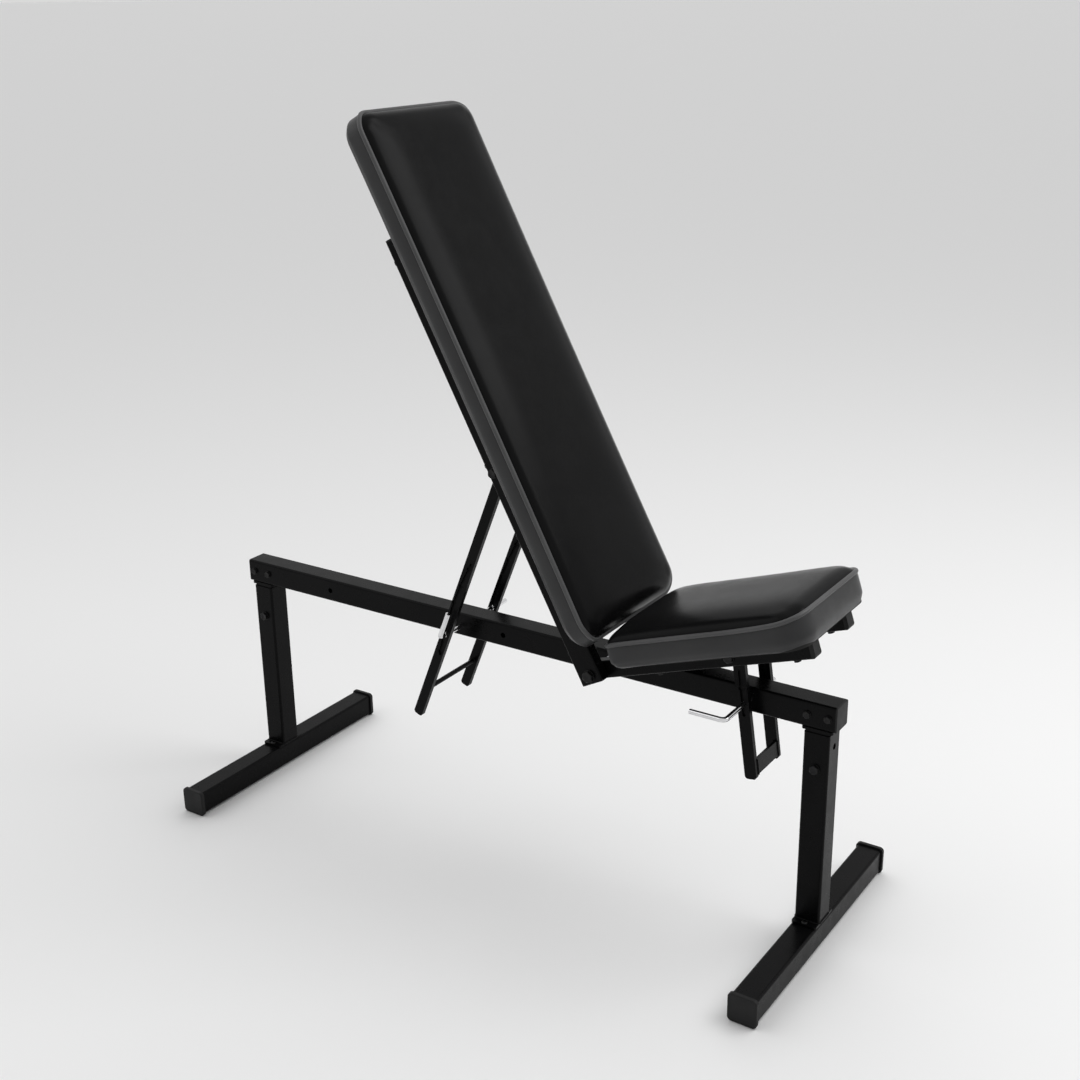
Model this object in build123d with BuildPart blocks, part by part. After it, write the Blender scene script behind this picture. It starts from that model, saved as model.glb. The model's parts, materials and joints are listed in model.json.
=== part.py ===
"""Adjustable weight bench: steel frame, tilting backrest and seat, ladder struts and lock pins.

Millimetres. +X runs from the backrest end to the seat end, +Z is up, the floor is Z = 0 and
Y = 0 is the centre plane. The right side is -Y, as seen by somebody who sits on the bench.
"""

import os
from math import asin, cos, degrees, radians, sin, sqrt

from build123d import *

os.makedirs("parts", exist_ok=True)

# Frame tubes
tube = 40.0
tube_wall = 1.5
tube_corner = 4.0
beam_length = 1130.0
beam_top = 407.5
post_inset = 27.0
foot_length = 458.0
insert_fit = 0.1

# Plastic caps and plugs
cap_lip = 3.0
cap_flange = 7.0
cap_corner = 7.0
cap_edge = 2.0
cap_insert = 18.0
plug_flange = 2.5
plug_insert = 5.0
plug_edge = 1.5

# Leg heads, posts and foot plates
head_plate_length = 48.0
head_plate = 4.0
tongue_length = 42.0
tongue_thick = 2.5
tongue_height = 34.0
tongue_bolt_spacing = 32.0
tongue_bolt_rise = 20.0
stub_length = 130.0
stub_show = 3.5
post_bolt_drop = 56.5
post_hole_drop = 23.0
post_hole_radius = 5.0
foot_plate = 4.0
foot_screw_spacing = 53.0
foot_screw_margin = 5.5

# Fasteners: shank radius, width across flats, head height and nut height
m6_radius = 3.0
m6_flats = 10.0
m6_head = 4.0
m6_nut = 5.0
m8_radius = 4.0
m8_flats = 13.0
m8_head = 5.3
m8_nut = 6.5
m10_radius = 5.0
m10_flats = 16.0
m10_head = 6.4
m10_nut = 8.0
screw_head_radius = 5.0
screw_head = 2.6
screw_reach = 12.0
bolt_fit = 0.1
running_fit = 0.08
side_gap = 0.2

# Main pivot, seen from the side
pivot_x = 200.0
pivot_z = 396.0
spacer_radius = 9.0
washer_radius = 11.0

# Spare holes along the beam
spare_hole_radius = 4.5
spare_hole_rear_x = -375.0
spare_hole_front_x = -8.0

# Backrest
back_angle = 62.0
back_rail_width = 20.0
back_rail_depth = 40.0
back_rail_wall = 1.5
back_rail_corner = 3.0
back_rail_inner = 72.0
back_rail_tail = 13.0
back_rail_reach = 712.0
back_tie = 20.0
back_tie_low = 150.0
back_tie_high = 620.0
back_bolt_low = 350.0
back_bolt_inset = 32.0
back_pad_start = 49.0
back_pad_length = 839.0
back_pad_width = 270.0
back_pad_side = 36.0
back_pad_crown = 8.0
back_pad_low_corner = 23.0
back_pad_high_corner = 34.0
back_pad_draw = 3.0
back_pad_low_round = 15.0
back_pad_high_round = 7.0
back_board = 12.0

# Pad section shared by both pads
pad_tuck = 2.0
pad_lean = 1.0
pad_shoulder = 14.0
pad_rise = 4.0
pad_turn = 0.25
pad_round_reach = 32.0
pad_end_angles = (90, 65, 40, 20)
pad_side_steps = 4
board_inset = 7.0
board_fit = 0.2
bolt_bite = 9.0

# Backrest strut
strut_hinge_up = 336.0
strut_hinge_back = 10.0
strut_pin_x = -89.0
strut_bar_width = 17.0
strut_bar_thick = 8.0
strut_bar_outer = 70.0
strut_bar_tail = 170.0
strut_bar_corner = 5.0
strut_rod_radius = 4.0
strut_rod_lift = 55.0
strut_ratio = -0.295
back_lower_angle = -30.0
back_raise_angle = 8.0
strut_hole_angle = 7.0

# Seat
seat_angle = 18.6
seat_rail_width = 20.0
seat_rail_depth = 28.0
seat_rail_inner = 48.0
seat_rail_tail = 16.0
seat_rail_reach = 359.5
seat_plug_head = 7.0
seat_plug_corner = 6.0
seat_tie_width = 30.0
seat_tie_thick = 4.0
seat_tie_low = 140.0
seat_tie_high = 300.0
seat_bolt_low = 105.0
seat_bolt_inset = 27.5
seat_pad_start = 59.0
seat_pad_overhang = 23.5
seat_pad_width = 242.0
seat_pad_side = 40.0
seat_pad_crown = 8.0
seat_pad_rear_corner = 14.0
seat_pad_front_corner = 38.0
seat_pad_draw = 2.0
seat_pad_rear_round = 17.0
seat_pad_front_round = 11.0
seat_board = 12.0

# Seat strut
seat_pin_x = 431.5
seat_bar_width = 19.0
seat_bar_thick = 8.0
seat_bar_outer = 42.0
seat_bar_tail = 118.0
seat_bar_corner = 5.0
seat_plate_thick = 5.0
seat_plate_height = 24.0
seat_plate_lift = 6.0
seat_lower_angle = -13.0
seat_raise_angle = 4.0
seat_hole_spacing = 26.0

# Lock pins
pin_radius = 4.0
pin_neck_radius = 2.0
pin_neck_gap = 0.5
pin_hole_gap = 0.3
pin_slot_gap = 0.5
pin_bend_radius = 8.0
pin_tip = 1.0
rear_pin_tip = 104.0
rear_pin_bend = 82.0
rear_pin_handle = 50.0
front_pin_tip = 62.0
front_pin_bend = 100.0
front_pin_handle = 56.0

# Derived places
beam_bottom = beam_top - tube
beam_middle = beam_top - tube / 2
foot_middle = cap_lip + tube / 2
foot_top = cap_lip + tube
tube_bore = tube - 2 * tube_wall
bore_corner = tube_corner - tube_wall
post_foot = foot_top + foot_plate
foot_plate_width = foot_screw_spacing + 2 * foot_screw_margin
post_top = beam_bottom - head_plate - stub_show
post_bolt_z = post_top - post_bolt_drop
post_hole_z = post_top - post_hole_drop
tongue_bolt_z = beam_bottom + tongue_bolt_rise
stub_size = tube_bore - 2 * insert_fit
stub_bore = stub_size - 2 * tube_wall
tongue_y = (stub_size - tongue_thick) / 2
on_base = (Align.CENTER, Align.MIN)
front_x = beam_length / 2 - post_inset
rear_x = -front_x

back_rail_outer = back_rail_inner + back_rail_width
back_rail_y = back_rail_inner + back_rail_width / 2
seat_rail_outer = seat_rail_inner + seat_rail_width
seat_rail_y = seat_rail_inner + seat_rail_width / 2
seat_pad_length = seat_rail_reach + seat_pad_overhang - seat_pad_start
pin_slot_width = 2 * (pin_neck_radius + pin_slot_gap)
strut_bar_inner = strut_bar_outer - strut_bar_thick
seat_bar_inner = seat_bar_outer - seat_bar_thick

back_rad = radians(back_angle)
back_up = Vector(-cos(back_rad), 0, sin(back_rad))
back_out = Vector(sin(back_rad), 0, cos(back_rad))
seat_rad = radians(seat_angle)
seat_on = Vector(cos(seat_rad), 0, sin(seat_rad))
seat_up = Vector(-sin(seat_rad), 0, cos(seat_rad))
pivot = Vector(pivot_x, 0, pivot_z)
across = Vector(0, 1, 0)

# The two lock pin axes and the two strut hinges
strut_pin = Vector(strut_pin_x, 0, beam_middle)
seat_pin = Vector(seat_pin_x, 0, beam_middle)
strut_hinge = pivot + back_up * strut_hinge_up - back_out * strut_hinge_back
seat_arm = (seat_pin - pivot).length
seat_hinge = pivot + seat_on * seat_arm
strut_along = (strut_pin - strut_hinge).normalized()
strut_span = (strut_pin - strut_hinge).length
seat_along = (seat_pin - seat_hinge).normalized()
seat_span = (seat_pin - seat_hinge).length


def side(y):
    """Return the plane at Y = y with local axes X and Z, which extrudes towards -Y."""
    return Plane.XZ.offset(-y)


def back_station(along, out=0.0):
    """Return the plane square to the backrest's length at a distance from the pivot."""
    origin = pivot + back_up * along + back_out * out
    return Plane(origin=origin, x_dir=-across, z_dir=back_up)


def seat_station(along, up=0.0):
    """Return the plane square to the seat's length at a distance from the pivot."""
    origin = pivot + seat_on * along + seat_up * up
    return Plane(origin=origin, x_dir=across, z_dir=seat_on)


def back_level(along, out):
    """Return the plane parallel to the backrest's face."""
    origin = pivot + back_up * along + back_out * out
    return Plane(origin=origin, x_dir=back_up, z_dir=back_out)


def seat_level(along, up):
    """Return the plane parallel to the seat's face."""
    origin = pivot + seat_on * along + seat_up * up
    return Plane(origin=origin, x_dir=seat_on, z_dir=seat_up)


def seat_side(y):
    """Return the plane at Y = y with local axes along the seat and up from it."""
    return Plane(origin=pivot + across * y, x_dir=seat_on, z_dir=-across)


def strut_plane(y):
    """Return the backrest strut's plane at Y = y, from its hinge along the bar."""
    origin = Vector(strut_hinge.X, y, strut_hinge.Z)
    return Plane(origin=origin, x_dir=strut_along, z_dir=across)


def seat_strut_plane(y):
    """Return the seat strut's plane at Y = y, from its hinge along the bar."""
    origin = Vector(seat_hinge.X, y, seat_hinge.Z)
    return Plane(origin=origin, x_dir=seat_along, z_dir=across)


def turned(vector, angle):
    """Return the vector turned about +Y by an angle in degrees."""
    turn = radians(angle)
    x = vector.X * cos(turn) + vector.Z * sin(turn)
    z = vector.Z * cos(turn) - vector.X * sin(turn)
    return Vector(x, vector.Y, z)


def pin_in_strut(tilt):
    """Return where the lock pin crosses the backrest strut's plane at a tilt in degrees."""
    hinge = pivot + turned(strut_hinge - pivot, tilt)
    reach = turned(strut_pin - hinge, -(1 + strut_ratio) * tilt)
    sideways = across.cross(strut_along)
    return (reach.dot(strut_along), reach.dot(sideways))


def pad_station(half, lift, side_height, crown):
    """Draw one closed cross section of a pad in the current sketch."""
    foot_right = (half - pad_tuck, 0)
    seam_right = (half - pad_lean, side_height - lift)
    top_right = (half - pad_shoulder, side_height + pad_rise - lift)
    foot_left = (-foot_right[0], 0)
    seam_left = (-seam_right[0], seam_right[1])
    top_left = (-top_right[0], top_right[1])
    middle = (half, seam_right[1] / 2)
    shoulder = (seam_right[0] - pad_turn * pad_shoulder, top_right[1] - pad_turn * pad_rise)
    with BuildLine() as outline:
        Line(foot_left, foot_right)
        ThreePointArc(foot_right, middle, seam_right)
        ThreePointArc(seam_right, shoulder, top_right)
        ThreePointArc(top_right, (0, side_height + crown - lift), top_left)
        ThreePointArc(top_left, (-shoulder[0], shoulder[1]), seam_left)
        ThreePointArc(seam_left, (-middle[0], middle[1]), foot_left)
    make_face(outline.edges())


def pad_end(distance, corner, end_round):
    """Return how far a pad is narrower and lower at a distance from its end."""
    left = max(corner - distance, 0.0)
    inset = corner - sqrt(corner ** 2 - left ** 2)
    short = max(1 - distance / pad_round_reach, 0.0)
    drop = end_round * (1 - sqrt(1 - short ** 2))
    return inset, drop


def pad_stations(length, width, draw, first_end, last_end):
    """Return (distance, half width, drop) of each cross section along a pad."""
    half = width / 2
    first = []
    last = []
    for angle in pad_end_angles:
        bend = 1 - sin(radians(angle))
        for rows, (corner, end_round) in ((first, first_end), (last, last_end)):
            distance = max(corner, pad_round_reach) * bend
            inset, drop = pad_end(distance, corner, end_round)
            rows.append((distance, half - inset, drop))
    middle = []
    start = max(first_end[0], pad_round_reach)
    stop = length - max(last_end[0], pad_round_reach)
    for step in range(pad_side_steps + 1):
        share = step / pad_side_steps
        bow = draw * (1 - (2 * share - 1) ** 2)
        middle.append((start + share * (stop - start), half - bow, 0.0))
    return first + middle + [(length - distance, wide, drop) for distance, wide, drop in reversed(last)]


# Main beam
with BuildPart() as main_beam:
    with BuildSketch(Plane.YZ.offset(-beam_length / 2)):
        with Locations((0, beam_middle)):
            RectangleRounded(tube, tube, tube_corner)
            RectangleRounded(tube_bore, tube_bore, bore_corner, mode=Mode.SUBTRACT)
    extrude(amount=beam_length)
    with BuildSketch(Plane.XZ):
        with Locations((pivot_x, pivot_z)):
            Circle(m10_radius + bolt_fit)
        with Locations((strut_pin_x, beam_middle), (seat_pin_x, beam_middle)):
            Circle(pin_radius + running_fit)
        with Locations((spare_hole_rear_x, beam_middle), (spare_hole_front_x, beam_middle)):
            Circle(spare_hole_radius)
        for post_x in (rear_x, front_x):
            with Locations((post_x, tongue_bolt_z)):
                with GridLocations(tongue_bolt_spacing, 1, 2, 1):
                    Circle(m6_radius + bolt_fit)
    extrude(amount=tube, both=True, mode=Mode.SUBTRACT)
    with BuildSketch(Plane.XY.offset(beam_bottom)):
        for post_x in (rear_x, front_x):
            with Locations((post_x, -tongue_y), (post_x, tongue_y)):
                Rectangle(tongue_length + 2 * insert_fit, tongue_thick + 2 * insert_fit)
    extrude(amount=tube_wall + bore_corner, mode=Mode.SUBTRACT)

with BuildPart() as rear_beam_plug:
    with BuildSketch(Plane.YZ.offset(-beam_length / 2)):
        with Locations((0, beam_middle)):
            RectangleRounded(tube, tube, tube_corner)
    extrude(amount=-plug_flange)
    fillet(rear_beam_plug.faces().sort_by(Axis.X)[0].edges(), plug_edge)
    with BuildSketch(Plane.YZ.offset(-beam_length / 2)):
        with Locations((0, beam_middle)):
            RectangleRounded(stub_size, stub_size, bore_corner)
    extrude(amount=plug_insert)

with BuildPart() as front_beam_plug:
    mirror(rear_beam_plug.part, about=Plane.YZ)

# Leg heads: two tongues up into the beam, a plate under it and a stub down into the post
with BuildPart() as rear_leg_head:
    with BuildSketch(Plane.XY.offset(beam_bottom)):
        with Locations((rear_x, 0)):
            RectangleRounded(head_plate_length, tube, tube_corner)
    extrude(amount=-head_plate)
    with BuildSketch(Plane.XY.offset(beam_bottom)):
        with Locations((rear_x, -tongue_y), (rear_x, tongue_y)):
            Rectangle(tongue_length, tongue_thick)
    extrude(amount=tongue_height)
    with BuildSketch(Plane.XY.offset(beam_bottom - head_plate)):
        with Locations((rear_x, 0)):
            RectangleRounded(stub_size, stub_size, bore_corner)
            Rectangle(stub_bore, stub_bore, mode=Mode.SUBTRACT)
    extrude(amount=-stub_length)
    with BuildSketch(Plane.XZ):
        with Locations((rear_x, tongue_bolt_z)):
            with GridLocations(tongue_bolt_spacing, 1, 2, 1):
                Circle(m6_radius + bolt_fit)
        with Locations((rear_x, post_bolt_z)):
            Circle(m8_radius + bolt_fit)
    extrude(amount=tube, both=True, mode=Mode.SUBTRACT)
    with BuildSketch(Plane.YZ.offset(rear_x)):
        with Locations((0, post_hole_z)):
            Circle(post_hole_radius)
    extrude(amount=-tube, mode=Mode.SUBTRACT)

with BuildPart() as front_leg_head:
    mirror(rear_leg_head.part, about=Plane.YZ)

with BuildPart() as rear_post:
    with BuildSketch(Plane.XY.offset(post_foot)):
        with Locations((rear_x, 0)):
            RectangleRounded(tube, tube, tube_corner)
            RectangleRounded(tube_bore, tube_bore, bore_corner, mode=Mode.SUBTRACT)
    extrude(amount=post_top - post_foot)
    with BuildSketch(Plane.XZ):
        with Locations((rear_x, post_bolt_z)):
            Circle(m8_radius + bolt_fit)
    extrude(amount=tube, both=True, mode=Mode.SUBTRACT)
    with BuildSketch(Plane.YZ.offset(rear_x)):
        with Locations((0, post_hole_z)):
            Circle(post_hole_radius)
    extrude(amount=-tube, mode=Mode.SUBTRACT)

with BuildPart() as front_post:
    mirror(rear_post.part, about=Plane.YZ)

with BuildPart() as rear_foot_plate:
    with BuildSketch(Plane.XY.offset(foot_top)):
        with Locations((rear_x, 0)):
            RectangleRounded(tube, foot_plate_width, tube_corner)
            with GridLocations(1, foot_screw_spacing, 1, 2):
                Circle(m6_radius + bolt_fit, mode=Mode.SUBTRACT)
    extrude(amount=foot_plate)

with BuildPart() as front_foot_plate:
    mirror(rear_foot_plate.part, about=Plane.YZ)

with BuildPart() as rear_foot:
    with BuildSketch(Plane.XZ.offset(-foot_length / 2)):
        with Locations((rear_x, foot_middle)):
            RectangleRounded(tube, tube, tube_corner)
            RectangleRounded(tube_bore, tube_bore, bore_corner, mode=Mode.SUBTRACT)
    extrude(amount=foot_length)
    with BuildSketch(Plane.XY.offset(foot_top)):
        with Locations((rear_x, 0)):
            with GridLocations(1, foot_screw_spacing, 1, 2):
                Circle(m6_radius + bolt_fit)
    extrude(amount=-tube / 2, mode=Mode.SUBTRACT)

with BuildPart() as front_foot:
    mirror(rear_foot.part, about=Plane.YZ)

# Foot caps, which carry the bench on the floor
with BuildPart() as rear_right_foot_cap:
    with BuildSketch(side(-foot_length / 2)):
        with Locations((rear_x, foot_middle)):
            RectangleRounded(tube + 2 * cap_lip, tube + 2 * cap_lip, cap_corner)
    extrude(amount=cap_flange)
    fillet(rear_right_foot_cap.faces().sort_by(Axis.Y)[0].edges(), cap_edge)
    with BuildSketch(side(-foot_length / 2)):
        with Locations((rear_x, foot_middle)):
            RectangleRounded(stub_size, stub_size, bore_corner)
    extrude(amount=-cap_insert)

with BuildPart() as rear_left_foot_cap:
    mirror(rear_right_foot_cap.part, about=Plane.XZ)

with BuildPart() as front_right_foot_cap:
    mirror(rear_right_foot_cap.part, about=Plane.YZ)

with BuildPart() as front_left_foot_cap:
    mirror(front_right_foot_cap.part, about=Plane.XZ)

# Frame fasteners
with BuildPart() as leg_head_bolts:
    for post_x in (rear_x, front_x):
        with BuildSketch(side(-tube / 2)):
            with Locations((post_x, tongue_bolt_z)):
                with GridLocations(tongue_bolt_spacing, 1, 2, 1):
                    RegularPolygon(m6_flats / 2, 6, major_radius=False)
        extrude(amount=m6_head)
        with BuildSketch(side(-tube / 2)):
            with Locations((post_x, tongue_bolt_z)):
                with GridLocations(tongue_bolt_spacing, 1, 2, 1):
                    Circle(m6_radius)
        extrude(amount=-(tube + m6_nut))

with BuildPart() as leg_head_nuts:
    for post_x in (rear_x, front_x):
        with BuildSketch(side(tube / 2)):
            with Locations((post_x, tongue_bolt_z)):
                with GridLocations(tongue_bolt_spacing, 1, 2, 1):
                    RegularPolygon(m6_flats / 2, 6, major_radius=False)
                    Circle(m6_radius + bolt_fit, mode=Mode.SUBTRACT)
        extrude(amount=-m6_nut)

with BuildPart() as post_bolts:
    with BuildSketch(side(-tube / 2)):
        with Locations((rear_x, post_bolt_z), (front_x, post_bolt_z)):
            RegularPolygon(m8_flats / 2, 6, major_radius=False)
    extrude(amount=m8_head)
    with BuildSketch(side(-tube / 2)):
        with Locations((rear_x, post_bolt_z), (front_x, post_bolt_z)):
            Circle(m8_radius)
    extrude(amount=-(tube + m8_nut))

with BuildPart() as post_nuts:
    with BuildSketch(side(tube / 2)):
        with Locations((rear_x, post_bolt_z), (front_x, post_bolt_z)):
            RegularPolygon(m8_flats / 2, 6, major_radius=False)
            Circle(m8_radius + bolt_fit, mode=Mode.SUBTRACT)
    extrude(amount=-m8_nut)

with BuildPart() as foot_screws:
    with BuildSketch(Plane.XY.offset(post_foot)):
        for post_x in (rear_x, front_x):
            with Locations((post_x, 0)):
                with GridLocations(1, foot_screw_spacing, 1, 2):
                    Circle(screw_head_radius)
    extrude(amount=screw_head)
    with BuildSketch(Plane.XY.offset(post_foot)):
        for post_x in (rear_x, front_x):
            with Locations((post_x, 0)):
                with GridLocations(1, foot_screw_spacing, 1, 2):
                    Circle(m6_radius)
    extrude(amount=-screw_reach)

# Main pivot through both pairs of rails and the beam
pivot_head_y = back_rail_outer + side_gap

with BuildPart() as pivot_bolt:
    with BuildSketch(side(-pivot_head_y)):
        with Locations((pivot_x, pivot_z)):
            RegularPolygon(m10_flats / 2, 6, major_radius=False)
    extrude(amount=m10_head)
    with BuildSketch(side(-pivot_head_y)):
        with Locations((pivot_x, pivot_z)):
            Circle(m10_radius)
    extrude(amount=-(2 * pivot_head_y + m10_nut))

with BuildPart() as pivot_nut:
    with BuildSketch(side(pivot_head_y)):
        with Locations((pivot_x, pivot_z)):
            RegularPolygon(m10_flats / 2, 6, major_radius=False)
            Circle(m10_radius + bolt_fit, mode=Mode.SUBTRACT)
    extrude(amount=-m10_nut)

with BuildPart() as pivot_spacers:
    with BuildSketch(side(tube / 2)):
        with Locations((pivot_x, pivot_z)):
            Circle(spacer_radius)
            Circle(m10_radius + bolt_fit, mode=Mode.SUBTRACT)
    extrude(amount=-(seat_rail_inner - side_gap - tube / 2))
    mirror(about=Plane.XZ)

with BuildPart() as pivot_washers:
    with BuildSketch(side(seat_rail_outer + side_gap)):
        with Locations((pivot_x, pivot_z)):
            Circle(washer_radius)
            Circle(m10_radius + bolt_fit, mode=Mode.SUBTRACT)
    extrude(amount=-(back_rail_inner - seat_rail_outer - 2 * side_gap))
    mirror(about=Plane.XZ)

# Backrest frame
back_bolt_high = back_rail_reach - back_bolt_inset
back_plane_out = back_rail_depth / 2
rail_bore_width = back_rail_width - 2 * back_rail_wall
rail_bore_depth = back_rail_depth - 2 * back_rail_wall
rail_bore_corner = back_rail_corner - back_rail_wall
back_plug_width = rail_bore_width - 2 * insert_fit
back_plug_depth = rail_bore_depth - 2 * insert_fit

with BuildPart() as backrest_rail_right:
    with BuildSketch(back_station(-back_rail_tail)):
        with Locations((back_rail_y, 0)):
            RectangleRounded(back_rail_width, back_rail_depth, back_rail_corner)
            RectangleRounded(rail_bore_width, rail_bore_depth, rail_bore_corner, mode=Mode.SUBTRACT)
    extrude(amount=back_rail_tail + back_rail_reach)
    with BuildSketch(side(-back_rail_y)):
        with Locations((pivot_x, pivot_z)):
            Circle(m10_radius + running_fit)
        with Locations((strut_hinge.X, strut_hinge.Z)):
            Circle(m8_radius + bolt_fit)
    extrude(amount=back_rail_width, both=True, mode=Mode.SUBTRACT)
    with BuildSketch(back_level(0, 0)):
        with Locations((back_bolt_low, back_rail_y), (back_bolt_high, back_rail_y)):
            Circle(m6_radius + bolt_fit)
    extrude(amount=back_rail_depth, both=True, mode=Mode.SUBTRACT)

with BuildPart() as backrest_rail_left:
    mirror(backrest_rail_right.part, about=Plane.XZ)

with BuildPart() as backrest_rail_plugs:
    with BuildSketch(back_station(back_rail_reach)):
        with Locations((back_rail_y, 0)):
            RectangleRounded(back_rail_width, back_rail_depth, back_rail_corner)
    extrude(amount=plug_flange)
    with BuildSketch(back_station(back_rail_reach)):
        with Locations((back_rail_y, 0)):
            RectangleRounded(back_plug_width, back_plug_depth, rail_bore_corner)
    extrude(amount=-cap_insert)
    mirror(about=Plane.XZ)

with BuildPart() as backrest_lower_tie:
    with BuildSketch(side(back_rail_inner)):
        tie_middle = pivot + back_up * back_tie_low + back_out * (back_plane_out - back_tie / 2)
        with Locations(Location((tie_middle.X, tie_middle.Z), -back_angle)):
            RectangleRounded(back_tie, back_tie, back_rail_corner)
            RectangleRounded(rail_bore_width, rail_bore_width, rail_bore_corner, mode=Mode.SUBTRACT)
    extrude(amount=2 * back_rail_inner)

with BuildPart() as backrest_upper_tie:
    with Locations(Location(back_up * (back_tie_high - back_tie_low))):
        add(backrest_lower_tie.part)

with BuildPart() as backrest_bolts:
    with BuildSketch(back_level(0, -back_plane_out)):
        for row_y in (-back_rail_y, back_rail_y):
            with Locations((back_bolt_low, row_y), (back_bolt_high, row_y)):
                RegularPolygon(m6_flats / 2, 6, major_radius=False)
    extrude(amount=-m6_head)
    with BuildSketch(back_level(0, -back_plane_out)):
        for row_y in (-back_rail_y, back_rail_y):
            with Locations((back_bolt_low, row_y), (back_bolt_high, row_y)):
                Circle(m6_radius)
    extrude(amount=back_rail_depth + bolt_bite)

# Backrest board and pad
back_board_length = back_pad_length - 2 * board_inset
back_board_width = back_pad_width - 2 * (board_inset + back_pad_draw)
back_board_middle = back_pad_start + back_pad_length / 2
back_board_corner = max(back_pad_low_corner, back_pad_high_corner) - board_inset
back_pocket_length = back_board_length + 2 * board_fit
back_pocket_width = back_board_width + 2 * board_fit
back_pad_low_end = (back_pad_low_corner, back_pad_low_round)
back_pad_high_end = (back_pad_high_corner, back_pad_high_round)
back_pad_rows = pad_stations(
    back_pad_length, back_pad_width, back_pad_draw, back_pad_low_end, back_pad_high_end
)

with BuildPart() as backrest_board:
    with BuildSketch(back_level(back_board_middle, back_plane_out)):
        RectangleRounded(back_board_length, back_board_width, back_board_corner)
    extrude(amount=back_board)
    with BuildSketch(back_level(0, back_plane_out)):
        for row_y in (-back_rail_y, back_rail_y):
            with Locations((back_bolt_low, row_y), (back_bolt_high, row_y)):
                Circle(m6_radius + bolt_fit)
    extrude(amount=bolt_bite + bolt_fit, mode=Mode.SUBTRACT)

with BuildPart() as backrest_pad:
    for along, half, drop in back_pad_rows:
        with BuildSketch(back_station(back_pad_start + along, back_plane_out)):
            pad_station(half, drop, back_pad_side, back_pad_crown)
    loft(ruled=True)
    with BuildSketch(back_level(back_board_middle, back_plane_out)):
        RectangleRounded(back_pocket_length, back_pocket_width, back_board_corner)
    extrude(amount=back_board, mode=Mode.SUBTRACT)

# Backrest strut: two ladder bars and a rod
slot_low = pin_in_strut(back_lower_angle)
slot_middle = pin_in_strut((back_lower_angle + back_raise_angle) / 2)
slot_high = pin_in_strut(back_raise_angle)
slot_sides = [slot_low[1], slot_middle[1], slot_high[1]]
strut_centre = (min(slot_sides) + max(slot_sides)) / 2
strut_end = strut_span + strut_bar_tail
strut_head = strut_bar_width / 2
strut_holes_below = int(-back_lower_angle // strut_hole_angle)
strut_holes_above = int(back_raise_angle // strut_hole_angle)
strut_tilts = [strut_hole_angle * step for step in range(-strut_holes_below, strut_holes_above + 1)]

with BuildLine() as strut_slot:
    ThreePointArc(slot_low, slot_middle, slot_high)

with BuildPart() as strut_bar_right:
    with BuildSketch(strut_plane(-strut_bar_outer)):
        with Locations(((strut_end - strut_head) / 2, strut_centre)):
            RectangleRounded(strut_end + strut_head, strut_bar_width, strut_bar_corner)
        Circle(m8_radius + running_fit, mode=Mode.SUBTRACT)
        SlotArc(strut_slot.line.edge(), pin_slot_width, mode=Mode.SUBTRACT)
        with Locations([pin_in_strut(tilt) for tilt in strut_tilts]):
            Circle(pin_radius + pin_hole_gap, mode=Mode.SUBTRACT)
    extrude(amount=strut_bar_thick)

with BuildPart() as strut_bar_left:
    mirror(strut_bar_right.part, about=Plane.XZ)

with BuildPart() as strut_cross_rod:
    with BuildSketch(strut_plane(-strut_bar_inner)):
        with Locations((strut_end - strut_rod_lift, strut_centre)):
            Circle(strut_rod_radius)
    extrude(amount=2 * strut_bar_inner)

# Strut hinge bolt through the backrest rails
with BuildPart() as strut_hinge_bolt:
    with BuildSketch(side(-back_rail_outer)):
        with Locations((strut_hinge.X, strut_hinge.Z)):
            RegularPolygon(m8_flats / 2, 6, major_radius=False)
    extrude(amount=m8_head)
    with BuildSketch(side(-back_rail_outer)):
        with Locations((strut_hinge.X, strut_hinge.Z)):
            Circle(m8_radius)
    extrude(amount=-(2 * back_rail_outer + m8_nut))

with BuildPart() as strut_hinge_nut:
    with BuildSketch(side(back_rail_outer)):
        with Locations((strut_hinge.X, strut_hinge.Z)):
            RegularPolygon(m8_flats / 2, 6, major_radius=False)
            Circle(m8_radius + bolt_fit, mode=Mode.SUBTRACT)
    extrude(amount=-m8_nut)

with BuildPart() as strut_hinge_spacer:
    with BuildSketch(side(strut_bar_inner - side_gap)):
        with Locations((strut_hinge.X, strut_hinge.Z)):
            Circle(m8_flats / 2)
            Circle(m8_radius + bolt_fit, mode=Mode.SUBTRACT)
    extrude(amount=2 * (strut_bar_inner - side_gap))

with BuildPart() as strut_hinge_washers:
    with BuildSketch(side(strut_bar_outer + side_gap)):
        with Locations((strut_hinge.X, strut_hinge.Z)):
            Circle(m8_flats / 2)
            Circle(m8_radius + bolt_fit, mode=Mode.SUBTRACT)
    extrude(amount=-(back_rail_inner - strut_bar_outer - side_gap))
    mirror(about=Plane.XZ)

# Seat frame
seat_bolt_high = seat_rail_reach - seat_bolt_inset
seat_plane_up = seat_rail_depth / 2
seat_bore_width = seat_rail_width - 2 * back_rail_wall
seat_bore_depth = seat_rail_depth - 2 * back_rail_wall
seat_plug_width = seat_bore_width - 2 * insert_fit
seat_plug_depth = seat_bore_depth - 2 * insert_fit

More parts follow.
